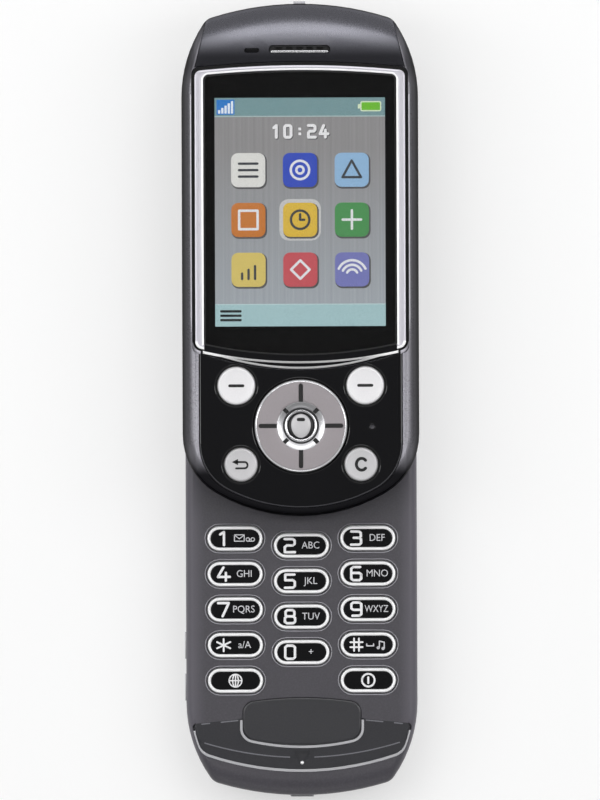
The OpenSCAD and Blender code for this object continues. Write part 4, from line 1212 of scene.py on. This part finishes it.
class PHONE_OT_nav(Build):
    """Navigation disc with its collar, and the centre button"""

    bl_idname = "phone.nav"
    bl_label = "Navigation disc"

    def make(self):
        cx, cy = NAV.xy
        top, bore, r = NAV_TOP, 2.75, NAV_R
        disc = lathe(bmesh.new(), [
            (4.95, top - 0.12), (5.3, top - 0.02), (7.2, top), (r - 0.5, top - 0.02),
            (r - 0.46, top - 0.2), (r - 0.46, top - 0.45), (r, top - 0.45), (r, WEB_Z + 1.05),
            (r - 0.3, WEB_Z + 0.75), (4.6, WEB_Z + 0.75), (4.6, WEB_Z), (bore, WEB_Z),
            (bore, WEB_Z + 0.9), (4.0, WEB_Z + 0.9), (4.95, WEB_Z + 0.9), (4.95, top - 0.12),
        ], NAV, 96)
        dark_fills = bmesh.new()
        grooves = self.cross(stadium(4.2, 1.0), 6.65, 0, top - 0.2, top + 1)
        # Dark fills in the floors of the grooves and of the collar's notches.
        self.cross(stadium(4.04, 0.84), 6.65, 0, top - 0.26, top - 0.14, dark_fills)
        piece(carve(disc, grooves), "nav_plate", "nav_disc", "nav_grey", ["nav_disc"])
        edge = lathe(bmesh.new(), [
            (-0.45, -0.44), (-0.45, -0.05), (-0.38, -0.01), (-0.26, -0.05), (-0.1, -0.18),
            (0, -0.38), (0, -0.44), (-0.45, -0.44),
        ], NAV, 96, r, top)
        piece(edge, "nav_edge", "nav_disc", "bright_trim")
        collar = lathe(bmesh.new(), [
            (4.93, -0.6), (4.93, -0.08), (4.82, -0.02), (4.6, -0.05), (4.1, -0.2), (3.8, -0.38),
            (3.68, -0.6), (3.68, -0.75), (4.93, -0.75), (4.93, -0.6),
        ], NAV, z=top)
        notches = self.cross(rounded_box(1.4, 0.85, 0.1), 4.35, 45, top - 0.4, top + 1)
        self.cross(rounded_box(1.1, 0.8, 0.1), 4.35, 45, top - 0.5, top - 0.36, dark_fills)
        piece(dark_fills, "nav_grooves", "nav_disc", "legend_dark")
        piece(carve(collar, notches), "nav_collar", "nav_disc", "collar_white")
        well = tube(bmesh.new(), bore + 0.03, 4.9, WEB_Z + 0.92, WEB_Z + 1.15, NAV)
        piece(well, "nav_well", "nav_disc", "black_plastic")
        ring = lathe(bmesh.new(), [
            (2.8, 0), (3.3, 0), (3.3, 0.25), (3.22, 0.36), (3.05, 0.4), (2.88, 0.34), (2.8, 0.2),
            (2.8, 0),
        ], NAV, z=WEB_Z + 1.15)
        piece(ring, "nav_ring", "nav_disc", "bright_trim")
        self.button(cx, cy)

    @staticmethod
    def cross(outline, reach, turn, z0, z1, bm=None):
        """Four like prisms round the disc's middle, the first one turned by an angle."""
        bm = bmesh.new() if bm is None else bm
        for i in range(4):
            spin = Matrix.Rotation(math.radians(turn + 90 * i), 2)
            prism(bm, [spin @ Vector((x + reach, y)) + NAV.xy for x, y in outline], z0, z1)
        return bm

    @staticmethod
    def button(cx, cy):
        low = span("select_button")[0].z
        nav_z = WEB_Z - 0.2
        stem = lathe(bmesh.new(), [
            (0, low), (1.2, low), (1.2, nav_z - 0.65), (3.4, nav_z - 0.65), (3.4, nav_z - 0.1),
            (2.55, nav_z - 0.1), (2.55, PANEL_Z - 0.2), (2.4, PANEL_Z - 0.1), (0, PANEL_Z - 0.1),
        ], NAV)
        piece(stem, "select_stem", "select_button", "black_plastic",
              ["select_button"])
        top, base = SELECT_TOP, PANEL_Z - 0.1
        rings = [
            [(cx + (2.02 + 0.14 * math.sin(a)) * k * math.cos(a), cy + 2.45 * k * math.sin(a), z)
             for a in (math.tau * i / 48 for i in range(48))]
            for k, z in ((1, base), (1, top - 0.32), (0.96, top - 0.17), (0.86, top - 0.07),
                         (0.68, top - 0.02), (0.35, top))
        ]
        piece(loft(bmesh.new(), rings), "select_nub", "select_button", "key_silver")
        # A dark fill where the nub's slot is: painted shade of the recess.
        slot = prism(bmesh.new(), moved(stadium(1.7, 0.7), cx, cy + 1.3), top - 0.3, top)
        piece(slot, "select_slot", "select_button", "legend_dark")


class PHONE_OT_deck(Build):
    """Moulding that carries the keypad"""

    bl_idname = "phone.deck"
    bl_label = "Keypad body"

    def make(self):
        rounded("keypad_cover", "deck")


class PHONE_OT_pad_keys(Build):
    """Fourteen keypad keys: plated rim, dark field and printed signs"""

    bl_idname = "phone.pad_keys"
    bl_label = "Keypad keys"

    def make(self):
        for key, (sign, words) in LETTERS.items():
            low, high = span(key)
            cx, cy = middle(key).xy
            length, width = high.x - low.x - 2 * PAD_STEP, high.y - low.y - 2 * PAD_STEP
            top, rim, flange = high.z, size("rim"), low.z + 0.7

            def ring(d):
                return moved(stadium(length - 2 * d, width - 2 * d), cx, cy)

            cap = stack(
                ring, (-PAD_STEP, low.z), (-PAD_STEP, flange), (0, flange), (0, top - 0.3),
                (0.05, top - 0.14), (0.15, top - 0.04), (0.3, top), (0.44, top - 0.04),
                (0.56, top - 0.13), (rim, top - 0.26))
            piece(cap, key + "_rim", key, "key_rim", [key])
            field = stack(ring, (rim - 0.06, top - 0.3), (rim - 0.06, top - 0.2),
                          (rim + 0.04, top - 0.12), (rim + 0.5, top - 0.1))
            piece(field, key + "_field", key, "key_field")
            # A raised ring at each well's edge: a real ring, lighter than the body as a painted
            # highlight.
            collar = stack(
                ring, (-0.34, DECK_Z - 0.42), (-0.34, DECK_Z - 0.08), (-0.4, DECK_Z + 0.02),
                (-0.48, DECK_Z + 0.05), (-0.56, DECK_Z + 0.02), (-0.6, DECK_Z - 0.06),
                (-0.6, DECK_Z - 0.42), wrap=True)
            piece(collar, key + "_collar", LOWER, "well_rim")
            legend = bmesh.new()
            self.sign(legend, sign, cx, cy, top - 0.07)
            piece(legend, key + "_sign", key, "legend_white")
            if words:
                legend = bmesh.new()
                self.words(legend, words, cx, cy, top - 0.085)
                piece(legend, key + "_words", key, "legend_grey")

    @staticmethod
    def sign(bm, sign, cx, cy, z):
        high, stroke = size("digit"), size("stroke")
        if sign == "web":
            lines = [closed_ring(cx, cy, 1.3, 28), closed_ring(cx, cy, 1.3, 28, 0.45),
                     [(cx - 1.3, cy), (cx + 1.3, cy)], [(cx, cy - 1.3), (cx, cy + 1.3)]]
            return add_strokes(bm, lines, 0.26, z)
        if sign == "power":
            lines = [closed_ring(cx, cy, 1.3, 28), [(cx, cy - 0.6), (cx, cy + 0.6)]]
            return add_strokes(bm, lines, 0.4, z)
        thin = 0.72 if sign in "*#" else 1
        set_sign(bm, sign, cx - 2.4, cy, z, high * 0.84, high, stroke * thin)

    @staticmethod
    def words(bm, words, cx, cy, z):
        if words == "post":
            envelope = [(-1, -0.65), (1, -0.65), (1, 0.65), (-1, 0.65), (-1, -0.65)]
            lines = [envelope, [(-1, 0.6), (0, -0.15), (1, 0.6)], closed_ring(1.75, -0.3, 0.36, 14),
                     closed_ring(2.75, -0.3, 0.36, 14), [(1.75, -0.66), (2.75, -0.66)]]
            add_strokes(bm, [moved(line, cx + 0.9, cy + 0.1) for line in lines], 0.2, z)
        elif words == "note":
            lines = [[(-0.7, 0.15), (-0.7, -0.25), (0.7, -0.25), (0.7, 0.15)],
                     [(1.9, -0.6), (1.9, 0.7), (2.9, 0.5), (2.9, -0.7)],
                     closed_ring(1.65, -0.65, 0.2, 10), closed_ring(2.65, -0.8, 0.2, 10)]
            add_strokes(bm, [moved(line, cx + 0.4, cy) for line in lines], 0.24, z)
        else:
            shift = 1.9 if len(words) < 4 else 1.75
            squeeze = 0.79 if words == "WXYZ" else 0.94
            add_text(bm, words, size("letter"), cx + shift, cy + 0.02, z, squeeze)


class PHONE_OT_chin(Build):
    """Tab, dark chin trim and bright wires at the keypad's end"""

    bl_idname = "phone.chin"
    bl_label = "Chin"

    def make(self):
        low, high = span("name_tab")

        def edge(d):
            return bowed_box(high.x - d, high.y - d, 70 - d, low.y + d, 47 - d, 2.4 - d, 2.7 - d)

        tab = stack(edge, (0, low.z), (0, high.z - 0.26), (0.06, high.z - 0.1),
                    (0.18, high.z - 0.02), (0.4, high.z))
        piece(tab, "tab", LOWER, "tab_dark", ["name_tab"])
        rounded("chin_trim", "chin")
        rounded("chin_strip", "chin_wires", "chin_wire", 0.19, 3)
        # Light strokes along the chin's crease and its wings' top edges: painted highlights.
        lines, top = [], span("chin_trim")[1].y - 0.2
        for side in (-1, 1):
            lines.append([(side * x, PIN_Y + 69.1 - math.sqrt(68 ** 2 - x * x)) for x in
                          (2.6 + 17.4 * i / 16 for i in range(17))])
            lines += [[(side * x, top - 0.097 * (x - 12.5)) for x in pair]
                      for pair in ((13.2, 16.6), (19.0, 20.6))]
        bm = bmesh.new()
        add_strokes(bm, lines, 0.24, DECK_Z + 0.01)
        piece(bm, "chin_lines", LOWER, "crease_line")
        pin = lathe(bmesh.new(), [
            (0, -0.02), (0.22, -0.07), (0.38, -0.22), (0.42, -0.5), (0, -0.5),
        ], (0, PIN_Y), 32, z=DECK_Z)
        piece(pin, "chin_pin", LOWER, "bright_trim")


class PHONE_OT_side_keys(Build):
    """Volume rocker and camera key"""

    bl_idname = "phone.side_keys"
    bl_label = "Side keys"

    def make(self):
        for key in ("volume_rocker", "camera_key"):
            rounded(key, key + "_cap", None, 0.2, 3)


class PHONE_OT_back(Build):
    """Rear moulding, battery cover and connector"""

    bl_idname = "phone.back"
    bl_label = "Back"

    def make(self):
        for node, name in (("rear_cover", "rear_moulding"), ("battery_cover", "battery_door"),
                           ("system_connector", "socket"), ("battery", "cell")):
            rounded(node, name)


class PHONE_OT_camera(Build):
    """Camera ring, lens and photo light on the back"""

    bl_idname = "phone.camera"
    bl_label = "Camera"

    def make(self):
        low, high = span("camera_ring")
        centre, wide = middle("camera_ring"), 0.8
        r, z, foot = radius("camera_ring") - wide, low.z, high.z - 0.5
        ring = lathe(bmesh.new(), [
            (r - 1.6, z + 0.3), (r - 1.45, z + 0.1), (r - 1.25, z), (r - 0.5, z),
            (r - 0.2, z + 0.1), (r - 0.05, z + 0.28), (r, z + 0.5), (r, foot), (r + wide, foot),
            (r + wide, high.z), (r - 2.3, high.z), (r - 2.3, z + 1.25), (r - 1.6, z + 1.25),
            (r - 1.6, z + 0.3),
        ], centre)
        piece(ring, "lens_ring", LOWER, "bright_trim", ["camera_ring"])
        low, high = span("camera_window")
        r = radius("camera_window")
        glass = lathe(bmesh.new(), [
            (0, low.z - 0.1), (r * 0.5, low.z - 0.07), (r - 0.2, low.z), (r, low.z + 0.15),
            (r, high.z), (0, high.z),
        ], centre)
        piece(glass, "lens_front", LOWER, "lens_glass", ["camera_window"])
        rounded("photo_light", "flash_lens", None, 0.12, 3)


class PHONE_OT_inner(Build):
    """Finishes of the CAD pieces that stay as they are"""

    bl_idname = "phone.inner"
    bl_label = "Inner pieces"

    def make(self):
        for node, obj in frame["nodes"].items():
            obj.data.materials.clear()
            obj.data.materials.append(finish(SLOT_OF[node]))


class PHONE_OT_stage(Build):
    """Pale floor, soft lamps and the camera over the phone"""

    bl_idname = "phone.stage"
    bl_label = "Stage"

    def make(self):
        bpy.context.scene.view_settings.view_transform = "Standard"
        self.floor()
        self.sky()
        self.lamp("left", (-0.38, 0.08, 0.62), (0.22, 0.7), 1.6)
        self.lamp("right", (0.38, 0.08, 0.62), (0.22, 0.7), 1.5)
        self.lamp("head", (0, 0.38, 0.64), (0.7, 0.2), 1.5)
        self.lamp("foot", (0, -0.75, 0.5), (0.6, 0.2), 0.5)
        self.camera()

    @staticmethod
    def floor():
        """White paper, lit up where it is looked at so that its shadows stay pale."""
        bm = bmesh.new()
        bmesh.ops.create_circle(bm, cap_ends=True, segments=64, radius=12000)
        bmesh.ops.scale(bm, vec=(MM,) * 3, verts=bm.verts)
        floor = loose(bm, "floor")
        floor.location.z = CAD_BOX[0][2] - 0.2 * MM
        look = Look("floor_paper")
        look.material.cycles.emission_sampling = "NONE"
        camera, glossy, through = (
            look.node("ShaderNodeLightPath", out=f"Is {kind} Ray")
            for kind in ("Camera", "Glossy", "Transmission"))
        seen, half = camera + glossy + through, (0.5, 0.5, 0.5)
        paper = look.mix(look.noise(300, 2), (0.93, 0.93, 0.93), (0.95, 0.95, 0.95))
        look.set(
            base_color=look.mix(seen, paper, look.mix(1.0, paper, half, "MULTIPLY")),
            emission_color=look.mix(seen, (0, 0, 0), half), emission_strength=1.0, roughness=0.9,
        )
        floor.data.materials.append(look.material)

    @staticmethod
    def sky():
        """Light that is pale at the horizon and dark overhead."""
        world = bpy.context.scene.world = bpy.data.worlds.new("studio")
        world.use_nodes = True
        nodes, links = world.node_tree.nodes, world.node_tree.links
        where, split, ramp = (
            nodes.new("ShaderNode" + kind) for kind in ("TexCoord", "SeparateXYZ", "ValToRGB"))
        links.new(where.outputs["Generated"], split.inputs[0])
        links.new(split.outputs["Z"], ramp.inputs["Fac"])
        links.new(ramp.outputs["Color"], nodes["Background"].inputs["Color"])
        set_stops(ramp.color_ramp, [(height, (level,) * 3) for height, level in (
            (0, 0.62), (0.55, 0.5), (0.8, 0.3), (0.95, 0.07))])
        nodes["Background"].inputs["Strength"].default_value = 1.0

    @staticmethod
    def camera():
        """Looks straight down, at a number of picture points to the millimetre."""
        reach, scale, picture, sensor = 3.0, 4.876, 800, 36
        data = bpy.data.cameras.new("camera")
        data.sensor_width = sensor
        data.lens = sensor * scale * (reach - 18 * MM) / MM / picture
        data.clip_end = 100
        camera = bpy.data.objects.new("camera", data)
        bpy.context.scene.collection.objects.link(camera)
        camera.location = (-0.17 * MM, 0, reach)
        camera.rotation_euler = (0, 0, math.radians(-0.22))
        bpy.context.scene.camera = camera

    @staticmethod
    def lamp(name, place, size, power):
        data = bpy.data.lights.new(name, "AREA")
        data.shape, data.size, data.size_y, data.energy = "RECTANGLE", *size, power
        lamp = bpy.data.objects.new(name, data)
        bpy.context.scene.collection.objects.link(lamp)
        lamp.location = place
        lamp.rotation_euler = Vector(place).to_track_quat("Z", "Y").to_euler()


STEPS = (
    PHONE_OT_stage, PHONE_OT_inner, PHONE_OT_frame, PHONE_OT_cap, PHONE_OT_display, PHONE_OT_panel,
    PHONE_OT_round_keys, PHONE_OT_nav, PHONE_OT_deck, PHONE_OT_pad_keys, PHONE_OT_chin,
    PHONE_OT_side_keys, PHONE_OT_back, PHONE_OT_camera,
)


class PHONE_PT_panel(bpy.types.Panel):
    """Lists the phone's pieces"""

    bl_idname = "PHONE_PT_panel"
    bl_label = "Swivel Phone"
    bl_space_type = "VIEW_3D"
    bl_region_type = "UI"
    bl_category = "Phone"

    def draw(self, context):
        for group in (context.scene.phone_sizes, context.scene.phone_finishes):
            for name in group.__annotations__:
                self.layout.prop(group, name)
        for step in STEPS:
            self.layout.operator(step.bl_idname)


CLASSES = (PhoneSizes, PhoneFinishes, *STEPS, PHONE_PT_panel)


def register():
    for cls in CLASSES:
        bpy.utils.register_class(cls)
    bpy.types.Scene.phone_sizes = PointerProperty(type=PhoneSizes)
    bpy.types.Scene.phone_finishes = PointerProperty(type=PhoneFinishes)


def unregister():
    del bpy.types.Scene.phone_finishes
    del bpy.types.Scene.phone_sizes
    for cls in reversed(CLASSES):
        bpy.utils.unregister_class(cls)


def main():
    register()
    for step in STEPS:
        getattr(bpy.ops.phone, step.bl_idname.split(".")[1])()


if __name__ == "__main__":
    main()
